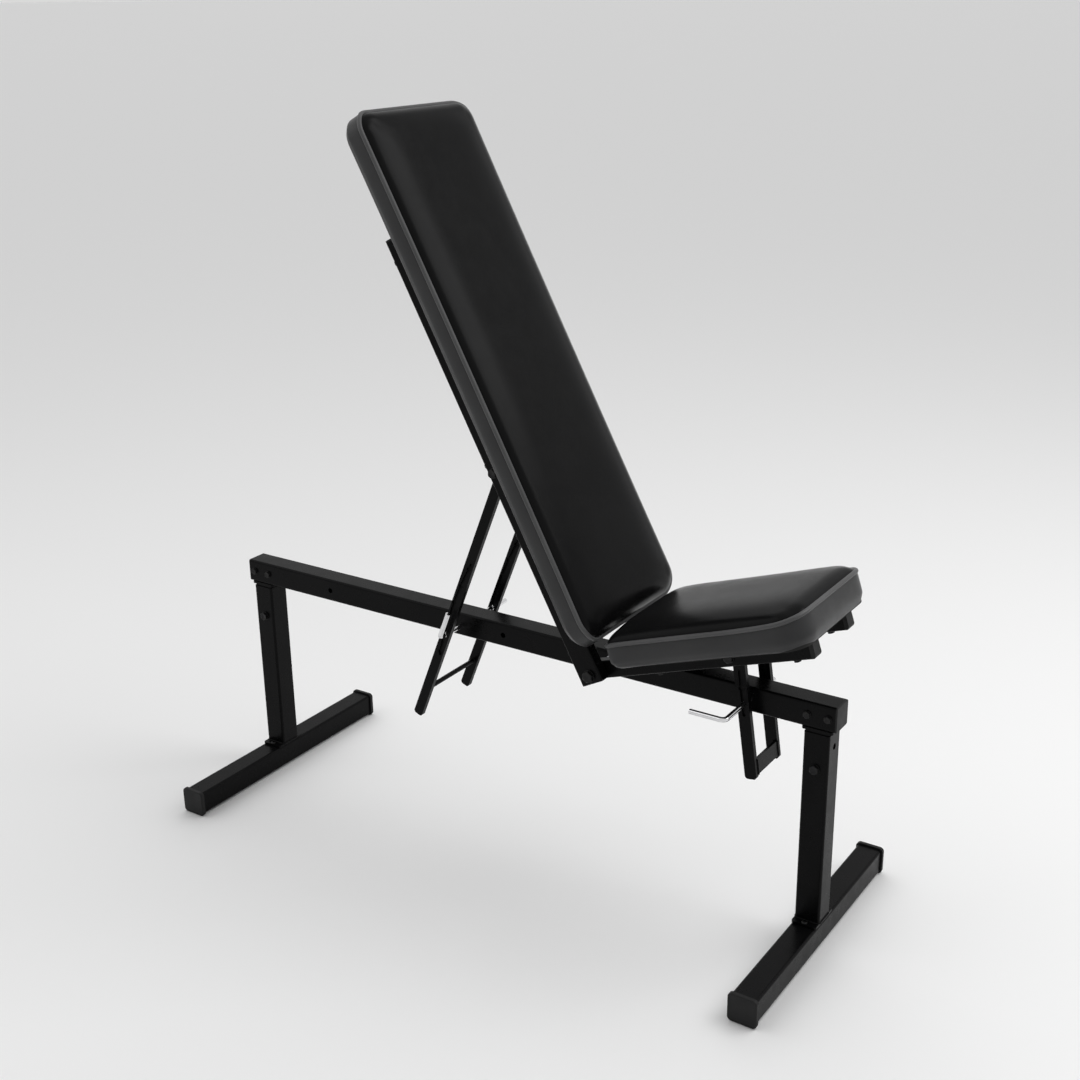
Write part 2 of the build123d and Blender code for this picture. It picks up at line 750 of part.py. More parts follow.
with BuildPart() as seat_rail_left:
    with BuildSketch(seat_station(-seat_rail_tail)):
        with Locations((seat_rail_y, 0)):
            RectangleRounded(seat_rail_width, seat_rail_depth, back_rail_corner)
            RectangleRounded(seat_bore_width, seat_bore_depth, rail_bore_corner, mode=Mode.SUBTRACT)
    extrude(amount=seat_rail_tail + seat_rail_reach)
    with BuildSketch(side(seat_rail_y)):
        with Locations((pivot_x, pivot_z)):
            Circle(m10_radius + running_fit)
        with Locations((seat_hinge.X, seat_hinge.Z)):
            Circle(m8_radius + bolt_fit)
    extrude(amount=seat_rail_width, both=True, mode=Mode.SUBTRACT)
    with BuildSketch(seat_level(0, 0)):
        with Locations((seat_bolt_low, seat_rail_y), (seat_bolt_high, seat_rail_y)):
            Circle(m6_radius + bolt_fit)
    extrude(amount=seat_rail_depth, both=True, mode=Mode.SUBTRACT)

with BuildPart() as seat_rail_right:
    mirror(seat_rail_left.part, about=Plane.XZ)

with BuildPart() as seat_rail_plugs:
    with BuildSketch(seat_station(seat_rail_reach)):
        with Locations((seat_rail_y, 0)):
            RectangleRounded(seat_rail_width, seat_rail_depth, back_rail_corner)
    extrude(amount=seat_plug_head)
    with BuildSketch(seat_side(seat_rail_y)) as seat_plug_nose:
        with Locations((seat_rail_reach + seat_plug_head / 2, 0)):
            Rectangle(seat_plug_head, seat_rail_depth)
        fillet(seat_plug_nose.vertices().group_by(Axis.X)[-1].sort_by(Axis.Y)[0], seat_plug_corner)
    extrude(amount=seat_rail_width, both=True, mode=Mode.INTERSECT)
    with BuildSketch(seat_station(seat_rail_reach)):
        with Locations((seat_rail_y, 0)):
            RectangleRounded(seat_plug_width, seat_plug_depth, rail_bore_corner)
    extrude(amount=-cap_insert)
    mirror(about=Plane.XZ)

with BuildPart() as seat_ties:
    with BuildSketch(seat_level(0, seat_plane_up)):
        with Locations((seat_tie_low, 0), (seat_tie_high, 0)):
            Rectangle(seat_tie_width, 2 * seat_rail_inner)
    extrude(amount=-seat_tie_thick)

with BuildPart() as seat_bolts:
    with BuildSketch(seat_level(0, -seat_plane_up)):
        for row_y in (-seat_rail_y, seat_rail_y):
            with Locations((seat_bolt_low, row_y), (seat_bolt_high, row_y)):
                RegularPolygon(m6_flats / 2, 6, major_radius=False)
    extrude(amount=-m6_head)
    with BuildSketch(seat_level(0, -seat_plane_up)):
        for row_y in (-seat_rail_y, seat_rail_y):
            with Locations((seat_bolt_low, row_y), (seat_bolt_high, row_y)):
                Circle(m6_radius)
    extrude(amount=seat_rail_depth + bolt_bite)

# Seat board and pad
seat_board_length = seat_pad_length - 2 * board_inset
seat_board_width = seat_pad_width - 2 * (board_inset + seat_pad_draw)
seat_board_middle = seat_pad_start + seat_pad_length / 2
seat_board_corner = max(seat_pad_rear_corner, seat_pad_front_corner) - board_inset
seat_pocket_length = seat_board_length + 2 * board_fit
seat_pocket_width = seat_board_width + 2 * board_fit
seat_pad_rear_end = (seat_pad_rear_corner, seat_pad_rear_round)
seat_pad_front_end = (seat_pad_front_corner, seat_pad_front_round)
seat_pad_rows = pad_stations(
    seat_pad_length, seat_pad_width, seat_pad_draw, seat_pad_rear_end, seat_pad_front_end
)

with BuildPart() as seat_board_panel:
    with BuildSketch(seat_level(seat_board_middle, seat_plane_up)):
        RectangleRounded(seat_board_length, seat_board_width, seat_board_corner)
    extrude(amount=seat_board)
    with BuildSketch(seat_level(0, seat_plane_up)):
        for row_y in (-seat_rail_y, seat_rail_y):
            with Locations((seat_bolt_low, row_y), (seat_bolt_high, row_y)):
                Circle(m6_radius + bolt_fit)
    extrude(amount=bolt_bite + bolt_fit, mode=Mode.SUBTRACT)

with BuildPart() as seat_pad:
    for along, half, drop in seat_pad_rows:
        with BuildSketch(seat_station(seat_pad_start + along, seat_plane_up)):
            pad_station(half, drop, seat_pad_side, seat_pad_crown)
    loft(ruled=True)
    with BuildSketch(seat_level(seat_board_middle, seat_plane_up)):
        RectangleRounded(seat_pocket_length, seat_pocket_width, seat_board_corner)
    extrude(amount=seat_board, mode=Mode.SUBTRACT)

# Seat strut: two ladder bars and a plate
seat_fold = 2 * degrees(asin(seat_span / (2 * seat_arm)))
seat_slot_low = 2 * seat_arm * sin(radians((seat_fold + seat_lower_angle) / 2))
seat_slot_high = 2 * seat_arm * sin(radians((seat_fold + seat_raise_angle) / 2))
seat_bar_end = seat_span + seat_bar_tail
seat_bar_head = seat_bar_width / 2
seat_holes = [seat_span - seat_hole_spacing, seat_span]
seat_plate_along = seat_bar_end - seat_plate_lift - seat_plate_height / 2
seat_plate_side = (seat_plate_thick - seat_bar_width) / 2

with BuildPart() as seat_strut_bar_right:
    with BuildSketch(seat_strut_plane(-seat_bar_outer)):
        with Locations(((seat_bar_end - seat_bar_head) / 2, 0)):
            RectangleRounded(seat_bar_end + seat_bar_head, seat_bar_width, seat_bar_corner)
        Circle(m8_radius + running_fit, mode=Mode.SUBTRACT)
        with Locations(((seat_slot_low + seat_slot_high) / 2, 0)):
            SlotCenterToCenter(seat_slot_high - seat_slot_low, pin_slot_width, mode=Mode.SUBTRACT)
        with Locations([(hole, 0) for hole in seat_holes]):
            Circle(pin_radius + pin_hole_gap, mode=Mode.SUBTRACT)
    extrude(amount=seat_bar_thick)

with BuildPart() as seat_strut_bar_left:
    mirror(seat_strut_bar_right.part, about=Plane.XZ)

with BuildPart() as seat_strut_plate:
    with BuildSketch(seat_strut_plane(-seat_bar_inner)):
        with Locations((seat_plate_along, seat_plate_side)):
            Rectangle(seat_plate_height, seat_plate_thick)
    extrude(amount=2 * seat_bar_inner)

# Seat hinge bolt through the seat rails
with BuildPart() as seat_hinge_bolt:
    with BuildSketch(side(-seat_rail_outer)):
        with Locations((seat_hinge.X, seat_hinge.Z)):
            RegularPolygon(m8_flats / 2, 6, major_radius=False)
    extrude(amount=m8_head)
    with BuildSketch(side(-seat_rail_outer)):
        with Locations((seat_hinge.X, seat_hinge.Z)):
            Circle(m8_radius)
    extrude(amount=-(2 * seat_rail_outer + m8_nut))

with BuildPart() as seat_hinge_nut:
    with BuildSketch(side(seat_rail_outer)):
        with Locations((seat_hinge.X, seat_hinge.Z)):
            RegularPolygon(m8_flats / 2, 6, major_radius=False)
            Circle(m8_radius + bolt_fit, mode=Mode.SUBTRACT)
    extrude(amount=-m8_nut)

with BuildPart() as seat_hinge_spacers:
    with BuildSketch(side(seat_bar_outer + side_gap)):
        with Locations((seat_hinge.X, seat_hinge.Z)):
            Circle(m8_flats / 2)
            Circle(m8_radius + bolt_fit, mode=Mode.SUBTRACT)
    extrude(amount=-(seat_rail_inner - seat_bar_outer - side_gap))
    mirror(about=Plane.XZ)
    with BuildSketch(side(seat_bar_inner - side_gap)):
        with Locations((seat_hinge.X, seat_hinge.Z)):
            Circle(m8_flats / 2)
            Circle(m8_radius + bolt_fit, mode=Mode.SUBTRACT)
    extrude(amount=2 * (seat_bar_inner - side_gap))

# Lock pins: a bent rod with a neck where it crosses each ladder bar
rear_handle_top = strut_pin - strut_along * rear_pin_handle

with BuildPart() as rear_lock_pin:
    with BuildLine() as rear_pin_path:
        FilletPolyline(
            (strut_pin.X, rear_pin_tip, strut_pin.Z),
            (strut_pin.X, -rear_pin_bend, strut_pin.Z),
            (rear_handle_top.X, -rear_pin_bend, rear_handle_top.Z),
            radius=pin_bend_radius,
        )
    with BuildSketch(Plane(origin=rear_pin_path.line @ 0, z_dir=rear_pin_path.line % 0)):
        Circle(pin_radius)
    sweep()
    chamfer(rear_lock_pin.faces().sort_by(Axis.Y)[-1].edges(), pin_tip)
    for neck_y in (strut_bar_outer + pin_neck_gap, -strut_bar_inner + pin_neck_gap):
        with BuildSketch(side(neck_y)):
            with Locations((strut_pin.X, strut_pin.Z)):
                Circle(pin_radius + pin_neck_gap)
                Circle(pin_neck_radius, mode=Mode.SUBTRACT)
        extrude(amount=strut_bar_thick + 2 * pin_neck_gap, mode=Mode.SUBTRACT)

with BuildPart() as front_lock_pin:
    with BuildLine() as front_pin_path:
        FilletPolyline(
            (seat_pin.X, front_pin_tip, seat_pin.Z),
            (seat_pin.X, -front_pin_bend, seat_pin.Z),
            (seat_pin.X - front_pin_handle, -front_pin_bend, seat_pin.Z),
            radius=pin_bend_radius,
        )
    with BuildSketch(Plane(origin=front_pin_path.line @ 0, z_dir=front_pin_path.line % 0)):
        Circle(pin_radius)
    sweep()
    chamfer(front_lock_pin.faces().sort_by(Axis.Y)[-1].edges(), pin_tip)
    for neck_y in (seat_bar_outer + pin_neck_gap, -seat_bar_inner + pin_neck_gap):
        with BuildSketch(side(neck_y)):
            with Locations((seat_pin.X, seat_pin.Z)):
                Circle(pin_radius + pin_neck_gap)
                Circle(pin_neck_radius, mode=Mode.SUBTRACT)
        extrude(amount=seat_bar_thick + 2 * pin_neck_gap, mode=Mode.SUBTRACT)

nodes = {
    "main_beam": main_beam,
    "rear_beam_plug": rear_beam_plug,
    "front_beam_plug": front_beam_plug,
    "rear_leg_head": rear_leg_head,
    "front_leg_head": front_leg_head,
    "rear_post": rear_post,
    "front_post": front_post,
    "rear_foot_plate": rear_foot_plate,
    "front_foot_plate": front_foot_plate,
    "rear_foot": rear_foot,
    "front_foot": front_foot,
    "rear_right_foot_cap": rear_right_foot_cap,
    "rear_left_foot_cap": rear_left_foot_cap,
    "front_right_foot_cap": front_right_foot_cap,
    "front_left_foot_cap": front_left_foot_cap,
    "leg_head_bolts": leg_head_bolts,
    "leg_head_nuts": leg_head_nuts,
    "post_bolts": post_bolts,
    "post_nuts": post_nuts,
    "foot_screws": foot_screws,
    "pivot_bolt": pivot_bolt,
    "pivot_nut": pivot_nut,
    "pivot_spacers": pivot_spacers,
    "pivot_washers": pivot_washers,
    "backrest_rail_right": backrest_rail_right,
    "backrest_rail_left": backrest_rail_left,
    "backrest_rail_plugs": backrest_rail_plugs,
    "backrest_lower_tie": backrest_lower_tie,
    "backrest_upper_tie": backrest_upper_tie,
    "backrest_bolts": backrest_bolts,
    "backrest_board": backrest_board,
    "backrest_pad": backrest_pad,
    "strut_bar_right": strut_bar_right,
    "strut_bar_left": strut_bar_left,
    "strut_cross_rod": strut_cross_rod,
    "strut_hinge_bolt": strut_hinge_bolt,
    "strut_hinge_nut": strut_hinge_nut,
    "strut_hinge_spacer": strut_hinge_spacer,
    "strut_hinge_washers": strut_hinge_washers,
    "seat_rail_left": seat_rail_left,
    "seat_rail_right": seat_rail_right,
    "seat_rail_plugs": seat_rail_plugs,
    "seat_ties": seat_ties,
    "seat_bolts": seat_bolts,
    "seat_board": seat_board_panel,
    "seat_pad": seat_pad,
    "seat_strut_bar_right": seat_strut_bar_right,
    "seat_strut_bar_left": seat_strut_bar_left,
    "seat_strut_plate": seat_strut_plate,
    "seat_hinge_bolt": seat_hinge_bolt,
    "seat_hinge_nut": seat_hinge_nut,
    "seat_hinge_spacers": seat_hinge_spacers,
    "rear_lock_pin": rear_lock_pin,
    "front_lock_pin": front_lock_pin,
}

for label, builder in nodes.items():
    builder.part.label = label
    export_step(builder.part, f"parts/{label}.step")
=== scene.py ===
"""Looks of an adjustable weight bench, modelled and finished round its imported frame.

Metres. +X runs from the backrest end to the seat end, +Z is up, the floor is Z = 0 and
Y = 0 is the centre plane. The right side is -Y, as seen by somebody who sits on the bench.
"""

import json
import logging
import math
from collections.abc import Callable
from dataclasses import dataclass, field
from enum import Enum

import bmesh
import bpy
from bmesh.types import BMEdge, BMesh, BMVert
from bpy.types import Material, Mesh, NodeSocket, NodeTree, Object
from mathutils import Matrix, Vector


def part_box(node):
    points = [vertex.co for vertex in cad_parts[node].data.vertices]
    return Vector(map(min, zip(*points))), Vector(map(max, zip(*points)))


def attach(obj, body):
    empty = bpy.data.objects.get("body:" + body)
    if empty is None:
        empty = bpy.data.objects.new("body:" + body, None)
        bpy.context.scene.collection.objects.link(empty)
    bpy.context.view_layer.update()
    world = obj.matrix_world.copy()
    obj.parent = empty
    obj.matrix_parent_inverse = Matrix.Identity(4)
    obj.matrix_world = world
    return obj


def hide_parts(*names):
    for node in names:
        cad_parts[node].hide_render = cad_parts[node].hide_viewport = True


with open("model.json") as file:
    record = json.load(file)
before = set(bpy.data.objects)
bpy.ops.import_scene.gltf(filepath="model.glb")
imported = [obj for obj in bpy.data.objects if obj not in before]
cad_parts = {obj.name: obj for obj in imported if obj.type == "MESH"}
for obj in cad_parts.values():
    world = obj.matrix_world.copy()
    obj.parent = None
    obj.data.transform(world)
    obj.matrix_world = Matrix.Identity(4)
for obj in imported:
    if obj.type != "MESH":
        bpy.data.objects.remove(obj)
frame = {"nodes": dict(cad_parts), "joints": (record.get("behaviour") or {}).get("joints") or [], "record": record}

LOG = logging.getLogger("weight_bench")
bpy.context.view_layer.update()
MM = 0.001
SAME_POINT = 0.005 * MM
TOLERANCE = 0.01 * MM
LEAST_EDGE = 1e-6
RANGE_SOCKETS = ("From Min", "From Max", "To Min", "To Max")

Pair = tuple[float, float]
Triple = tuple[float, float, float]
Colour = Triple


class Slot(Enum):
    """The record's material slots."""

    POWDER_COAT = "black_powder_coat"
    PLASTIC = "black_plastic"
    OXIDE = "black_oxide_steel"
    ZINC = "zinc_steel"
    CHROME = "chrome"
    VINYL = "vinyl_upholstery"
    BOARD = "pad_board"


class Grain(Enum):
    """The fine relief of a surface."""

    PEEL = "orange peel of a baked coat"
    HIDE = "pebbles pressed into vinyl"
    SPANGLE = "crystals of a zinc layer"
    DRAWN = "fine lines of drawn rod"
    FIBRE = "fibres of pressed board"


class ShaderTree:
    """A material's node tree, with short calls that add and join its nodes."""

    def __init__(self, name: str) -> None:
        """Start a material with one surface shader."""
        self.material = bpy.data.materials.new(name)
        self.material.use_nodes = True
        self.nodes = self.material.node_tree.nodes
        self.links = self.material.node_tree.links
        self.nodes.clear()
        output = self.nodes.new("ShaderNodeOutputMaterial")
        self.surface = self.nodes.new("ShaderNodeBsdfPrincipled")
        self.links.new(self.surface.outputs["BSDF"], output.inputs["Surface"])
        self.place = self.nodes.new("ShaderNodeTexCoord").outputs["Object"]

    def set(self, socket: str, value: object) -> None:
        """Set a surface socket to one value or join it to an output."""
        if isinstance(value, NodeSocket):
            self.links.new(value, self.surface.inputs[socket])
        else:
            self.surface.inputs[socket].default_value = value

    def stretched(self, shares: Triple) -> NodeSocket:
        """Return object coordinates scaled by a share on each axis."""
        mapping = self.nodes.new("ShaderNodeMapping")
        mapping.inputs["Scale"].default_value = shares
        self.links.new(self.place, mapping.inputs["Vector"])
        return mapping.outputs["Vector"]

    def noise(self, size: float, detail: float, place: NodeSocket | None = None) -> NodeSocket:
        """Return a cloud pattern from 0 to 1, with clouds of a size in metres and finer layers."""
        node = self.nodes.new("ShaderNodeTexNoise")
        node.inputs["Scale"].default_value = 1 / size
        node.inputs["Detail"].default_value = detail
        self.links.new(place or self.place, node.inputs["Vector"])
        return node.outputs[0]

    def cells(self, size: float, edges: bool) -> NodeSocket:
        """Return a pattern of cells: the distance to a cell's edge, or one value in each cell."""
        node = self.nodes.new("ShaderNodeTexVoronoi")
        node.feature = "DISTANCE_TO_EDGE" if edges else "F1"
        node.inputs["Scale"].default_value = 1 / size
        self.links.new(self.place, node.inputs["Vector"])
        if edges:
            return node.outputs["Distance"]
        split = self.nodes.new("ShaderNodeSeparateColor")
        self.links.new(node.outputs["Color"], split.inputs[0])
        return split.outputs[0]

    def ramp(self, value: NodeSocket, source: Pair, target: Pair) -> NodeSocket:
        """Map an output from one range to another, held at its ends."""
        node = self.nodes.new("ShaderNodeMapRange")
        node.interpolation_type = "SMOOTHSTEP"
        for socket, number in zip(RANGE_SOCKETS, (*source, *target)):
            node.inputs[socket].default_value = number
        self.links.new(value, node.inputs["Value"])
        return node.outputs["Result"]

    def blend(self, factor: NodeSocket, first: Colour, second: Colour) -> NodeSocket:
        """Mix two linear colours, from the first at 0 to the second at 1."""
        node = self.nodes.new("ShaderNodeMix")
        node.data_type = "RGBA"
        colours = [socket for socket in node.inputs if socket.type == "RGBA"]
        colours[0].default_value = (*first, 1)
        colours[1].default_value = (*second, 1)
        self.links.new(factor, node.inputs[0])
        return next(socket for socket in node.outputs if socket.type == "RGBA")

    def bump(self, height: NodeSocket, depth: float, below: NodeSocket | None = None) -> NodeSocket:
        """Return the normals of relief with a depth in metres, on other relief or on none."""
        node = self.nodes.new("ShaderNodeBump")
        node.inputs["Strength"].default_value = 1.0
        node.inputs["Distance"].default_value = depth
        self.links.new(height, node.inputs["Height"])
        if below is not None:
            self.links.new(below, node.inputs["Normal"])
        return node.outputs["Normal"]


FULL_RANGE = (0.0, 1.0)
CLOUD_RANGE = (0.3, 0.7)
GROOVE_RANGE = (0.0, 0.28)
DRAWN_SHARES = (1.0, 0.06, 1.0)
FIBRE_SHARES = (0.2, 1.0, 0.2)


@dataclass(frozen=True)
class Finish:
    """A surface finish: its colours, its gloss and its relief."""

    name: str
    colour: Colour
    mottled: Colour
    roughness: Pair
    grain: Grain
    grain_size: float
    grain_depth: float
    mottle_size: float = 0.07
    wave_depth: float = 0.0
    wave_size: float = 0.04
    metallic: float = 0.0
    specular: float = 0.5
    gloss_share: float = 0.35

    def relief(self, tree: ShaderTree) -> NodeSocket:
        """Return the pattern of the finish's own grain."""
        if self.grain is Grain.HIDE:
            return tree.ramp(tree.cells(self.grain_size, edges=True), GROOVE_RANGE, FULL_RANGE)
        if self.grain is Grain.SPANGLE:
            return tree.cells(self.grain_size, edges=False)
        if self.grain is Grain.DRAWN:
            return tree.noise(self.grain_size, 3.0, tree.stretched(DRAWN_SHARES))
        if self.grain is Grain.FIBRE:
            return tree.noise(self.grain_size, 6.0, tree.stretched(FIBRE_SHARES))
        return tree.noise(self.grain_size, detail=1.5)

    def build(self) -> Material:
        """Make the material and return it."""
        tree = ShaderTree(self.name)
        mottle = tree.noise(self.mottle_size, detail=4.0)
        grain = self.relief(tree)
        shade = grain if self.grain is Grain.SPANGLE else mottle
        patches = tree.ramp(shade, CLOUD_RANGE, FULL_RANGE)
        tree.set("Base Color", tree.blend(patches, self.colour, self.mottled))
        gloss = tree.noise(self.gloss_share * self.mottle_size, detail=5.0)
        tree.set("Roughness", tree.ramp(gloss, CLOUD_RANGE, self.roughness))
        tree.set("Metallic", self.metallic)
        tree.set("Specular IOR Level", self.specular)
        wave = None
        if self.wave_depth:
            wave = tree.bump(tree.noise(self.wave_size, detail=1.0), self.wave_depth)
        tree.set("Normal", tree.bump(grain, self.grain_depth, wave))
        return tree.material


FRAME_FINISHES = {
    Slot.POWDER_COAT: Finish(
        "satin_black_powder_coat", (0.0019, 0.0019, 0.0021), (0.003, 0.003, 0.0032), (0.25, 0.33),
        Grain.PEEL, 1.1 * MM, 0.018 * MM, specular=0.08,
    ),
    Slot.PLASTIC: Finish(
        "matte_black_plastic", (0.0055, 0.0055, 0.0057), (0.0085, 0.0085, 0.0087), (0.5, 0.6),
        Grain.PEEL, 0.7 * MM, 0.05 * MM, specular=0.25,
    ),
    Slot.OXIDE: Finish(
        "black_oxide_steel", (0.009, 0.009, 0.01), (0.015, 0.0145, 0.014), (0.34, 0.46),
        Grain.PEEL, 0.9 * MM, 0.02 * MM, metallic=0.7, mottle_size=0.01,
    ),
    Slot.ZINC: Finish(
        "zinc_plated_steel", (0.5, 0.51, 0.53), (0.66, 0.67, 0.68), (0.28, 0.4),
        Grain.SPANGLE, 2.5 * MM, 0.01 * MM, metallic=1.0, mottle_size=0.012,
    ),
    Slot.CHROME: Finish(
        "polished_chrome", (0.72, 0.72, 0.73), (0.8, 0.8, 0.81), (0.07, 0.16),
        Grain.DRAWN, 0.6 * MM, 0.01 * MM, metallic=1.0, mottle_size=0.02,
    ),
    Slot.BOARD: Finish(
        "black_painted_board", (0.008, 0.008, 0.008), (0.015, 0.014, 0.013), (0.6, 0.75),
        Grain.FIBRE, 1.6 * MM, 0.12 * MM, specular=0.3,
    ),
}
FACE_VINYL = Finish(
    "black_face_vinyl", (0.0045, 0.0045, 0.0047), (0.006, 0.006, 0.0062), (0.2, 0.25),
    Grain.HIDE, 1.5 * MM, 0.02 * MM, wave_depth=0.08 * MM, wave_size=0.09, specular=0.07,
)
BAND_VINYL = Finish(
    "grey_band_vinyl", (0.024, 0.024, 0.0248), (0.03, 0.03, 0.0308), (0.34, 0.42),
    Grain.HIDE, 1.5 * MM, 0.06 * MM, wave_depth=0.3 * MM, wave_size=0.05, specular=0.3,
)
# The welt's own lighter grey, raised further as a painted highlight along the pad's rolled top edge
WELT_VINYL_AND_HIGHLIGHT = Finish(
    "grey_welt_vinyl_and_highlight", (0.062, 0.062, 0.063), (0.075, 0.075, 0.076), (0.36, 0.44),
    Grain.HIDE, 1.2 * MM, 0.05 * MM, specular=0.4,
)
# Painted shade: a near-black finish for the thin sheets that fill the struts' slots, so the slots read dark as
# shade would make them
SLOT_SHADE = Finish(
    "painted_slot_shade", (0.0032, 0.0032, 0.0032), (0.0048, 0.0048, 0.0048), (0.6, 0.75),
    Grain.PEEL, 0.6 * MM, 0.04 * MM, specular=0.15,
)


def new_object(name: str, bm: BMesh, *finishes: Material) -> Object:
    """Turn a bmesh into an object at the origin, with materials in the order of its faces' indices."""
    mesh = bpy.data.meshes.new(name)
    bm.to_mesh(mesh)
    bm.free()
    for finish in finishes:
        mesh.materials.append(finish)
    for polygon in mesh.polygons:
        polygon.use_smooth = True
    piece = bpy.data.objects.new(name, mesh)
    bpy.context.scene.collection.objects.link(piece)
    return piece


@dataclass(frozen=True)
class Tilt:
    """The axes of a tilting sub-assembly: X along it and Z out of its pad's face."""

    joint: str
    angle: float
    face: int

    @property
    def matrix(self) -> Matrix:
        """Return the matrix from these axes to the bench's frame."""
        turn = math.radians(self.angle)
        along = Vector((math.cos(turn), 0, math.sin(turn)))
        out = Vector((-math.sin(turn), 0, math.cos(turn))) * self.face
        turned = Matrix((along, out.cross(along), out)).transposed().to_4x4()
        pivot = next(joint["pos_m"] for joint in frame["joints"] if joint["name"] == self.joint)
        return Matrix.Translation(pivot) @ turned

    def inside(self, node: str) -> tuple[Vector, Vector]:
        """Return the lowest and highest corner of a CAD node along these axes."""
        back = self.matrix.inverted()
        points = [back @ vertex.co for vertex in frame["nodes"][node].data.vertices]
        return corners(points)


BACKREST_TILT = Tilt("backrest_tilt", 118.0, -1)
SEAT_TILT = Tilt("seat_tilt", 18.6, 1)


@dataclass(frozen=True)
class Ring:
    """One row of a pad's cover below its seam."""

    inset: float
    height: float
    of_seam: bool = False
    sewn: bool = True


@dataclass
class Pad:
    """An upholstered pad: a black face, a grey side band, a welt between them and a turned-in edge."""

    name: str
    node: str
    board: str
    rail: str
    body: str
    tilt: Tilt
    low_corner: float
    high_corner: float
    low_round: float
    high_round: float
    draw: float
    seam_height: float
    shoulder: float
    arch: float
    shoulder_reach: float = 17 * MM
    ease_reach: float = 45 * MM
    round_reach: float = 32 * MM
    high_reach: float = 32 * MM
    corner_hold: float = 0.45
    low_flare: float = 0.0
    flare_reach: float = 50 * MM
    seam_inset: float = 2.4 * MM
    welt_radius: float = 3.6 * MM
    face_swell: float = 2.5 * MM
    band_swell: float = 2.6 * MM
    cell: float = 6 * MM
    edge_pull: float = 0.6
    turn_in: float = 34 * MM
    cover_thick: float = 0.8 * MM
    band_out: float = 1.6 * MM
    band_rows: tuple[float, ...] = (0.92, 0.8, 0.66, 0.52, 0.4, 0.29)
    edge_rows: tuple[Pair, ...] = ((3.6 * MM, 6.5 * MM), (5.2 * MM, 2.6 * MM), (8.5 * MM, 0.2 * MM))
    lip_rows: tuple[float, ...] = (0.3, 0.65, 0.97, 1.0)
    rail_gap: float = 9 * MM
    rail_tuck: float = 0.4 * MM
    welt_rise: float = 0.4 * MM
    welt_out: float = 0.3 * MM
    staple_row: float = 0.72
    staple_pitch: float = 27 * MM
    staple_turn: float = 12.0
    staple_size: Triple = (10 * MM, 1.3 * MM, 0.8 * MM)
    staple_bevel: float = 0.25 * MM
    pressure: float = 4.0
    frames: int = 20
    calm_rounds: int = 24
    seam: list[int] = field(default_factory=list)
    welded: list[int] = field(default_factory=list)

    def __post_init__(self) -> None:
        """Take the pad's size and place from its CAD solid, its board and its rail."""
        low, high = self.tilt.inside(self.node)
        self.length = high.x - low.x
        self.half = (high.y - low.y) / 2
        self.to_bench = self.tilt.matrix @ Matrix.Translation((low.x, 0, low.z))
        board_low, board_high = self.tilt.inside(self.board)
        self.board_inset = min(board_low.x - low.x, self.half - board_high.y)
        self.board_thick = board_high.z - board_low.z
        rail_low, rail_high = self.tilt.inside(self.rail)
        self.rail_near = min(abs(rail_low.y), abs(rail_high.y))
        self.rail_far = max(abs(rail_low.y), abs(rail_high.y))
        self.rail_end = rail_high.x - low.x

    def drop(self, along: float, across: float) -> float:
        """Return how far the seam falls towards the pad's ends, and less so at the low end's corners."""
        low_depth = self.low_round * (1 - self.corner_hold * across ** 2)
        low_end = (along, low_depth, self.round_reach)
        high_end = (self.length - along, self.high_round, self.high_reach)
        fall = 0.0
        for distance, depth, reach in (low_end, high_end):
            short = min(max(1 - distance / reach, 0.0), 1.0)
            fall += depth * (1 - math.sqrt(1 - short ** 2))
        return fall

    def turn(self, edge: float) -> float:
        """Return how far the face has turned over its shoulder at a distance from the seam, from 0 to 1."""
        left = 1 - min(max(edge / self.shoulder_reach, 0.0), 1.0)
        return math.sqrt(1 - left ** 2)

    def on_face(self, share_along: float, share_across: float) -> Vector:
        """Place a point of the face panel before it swells.

        Args:
            share_along: From -1 at the pad's start to 1 at its end.
            share_across: From -1 to 1 across the pad.

        Returns:
            The point along the pad's axes.
        """
        pull = self.edge_pull
        along, across = (
            (1 - pull) * share + pull * math.sin(0.5 * math.pi * share)
            for share in (share_along, share_across)
        )
        reach = self.length / 2 - self.seam_inset
        wide = self.half - self.seam_inset
        corner = (self.low_corner if along < 0 else self.high_corner) - self.seam_inset
        x, y = abs(along) * reach, abs(across) * wide
        a = (x - reach + corner) / corner
        b = (y - wide + corner) / corner
        ends = max(reach - x, LEAST_EDGE)
        sides = max(wide - y, LEAST_EDGE)
        if a > 0 and b > 0:
            x = reach - corner + corner * a * math.sqrt(1 - b * b / 2)
            y = wide - corner + corner * b * math.sqrt(1 - a * a / 2)
            rim = max(corner * (1 - math.sqrt(a * a + b * b - a * a * b * b)), LEAST_EDGE)
            nearest = min(reach - x, wide - y)
            ends = (reach - x) * rim / nearest
            sides = (wide - y) * rim / nearest
        y *= 1 - self.draw * (1 - along ** 2) / self.half
        x = self.length / 2 + math.copysign(x, along)
        edge = (ends ** -4 + sides ** -4) ** -0.25
        ease = math.sin(0.5 * math.pi * min(ends / self.ease_reach, 1.0))
        lift = self.shoulder * self.turn(edge) + self.arch * ease * (1 - (1 - sides / wide) ** 4)
        fall = self.drop(x, across)
        lift *= 1 + min(fall, 0.0) / (self.shoulder + self.arch)
        z = self.seam_height - fall + lift
        return Vector((x, math.copysign(y, across), z))

    def rings(self) -> list[Ring]:
        """List the rows of the cover from the seam down, under the board's edge and into its pocket."""
        inset = self.seam_inset - self.band_out
        band = [Ring(inset, share, of_seam=True, sewn=False) for share in self.band_rows]
        edge = [Ring(*row) for row in self.edge_rows]
        lip = [Ring(share * self.turn_in, -self.cover_thick) for share in self.lip_rows]
        pocket = [Ring(self.turn_in, 0.0), Ring(self.board_inset, 0.0)]
        return band + edge + lip + pocket + [Ring(self.board_inset, self.board_thick)]

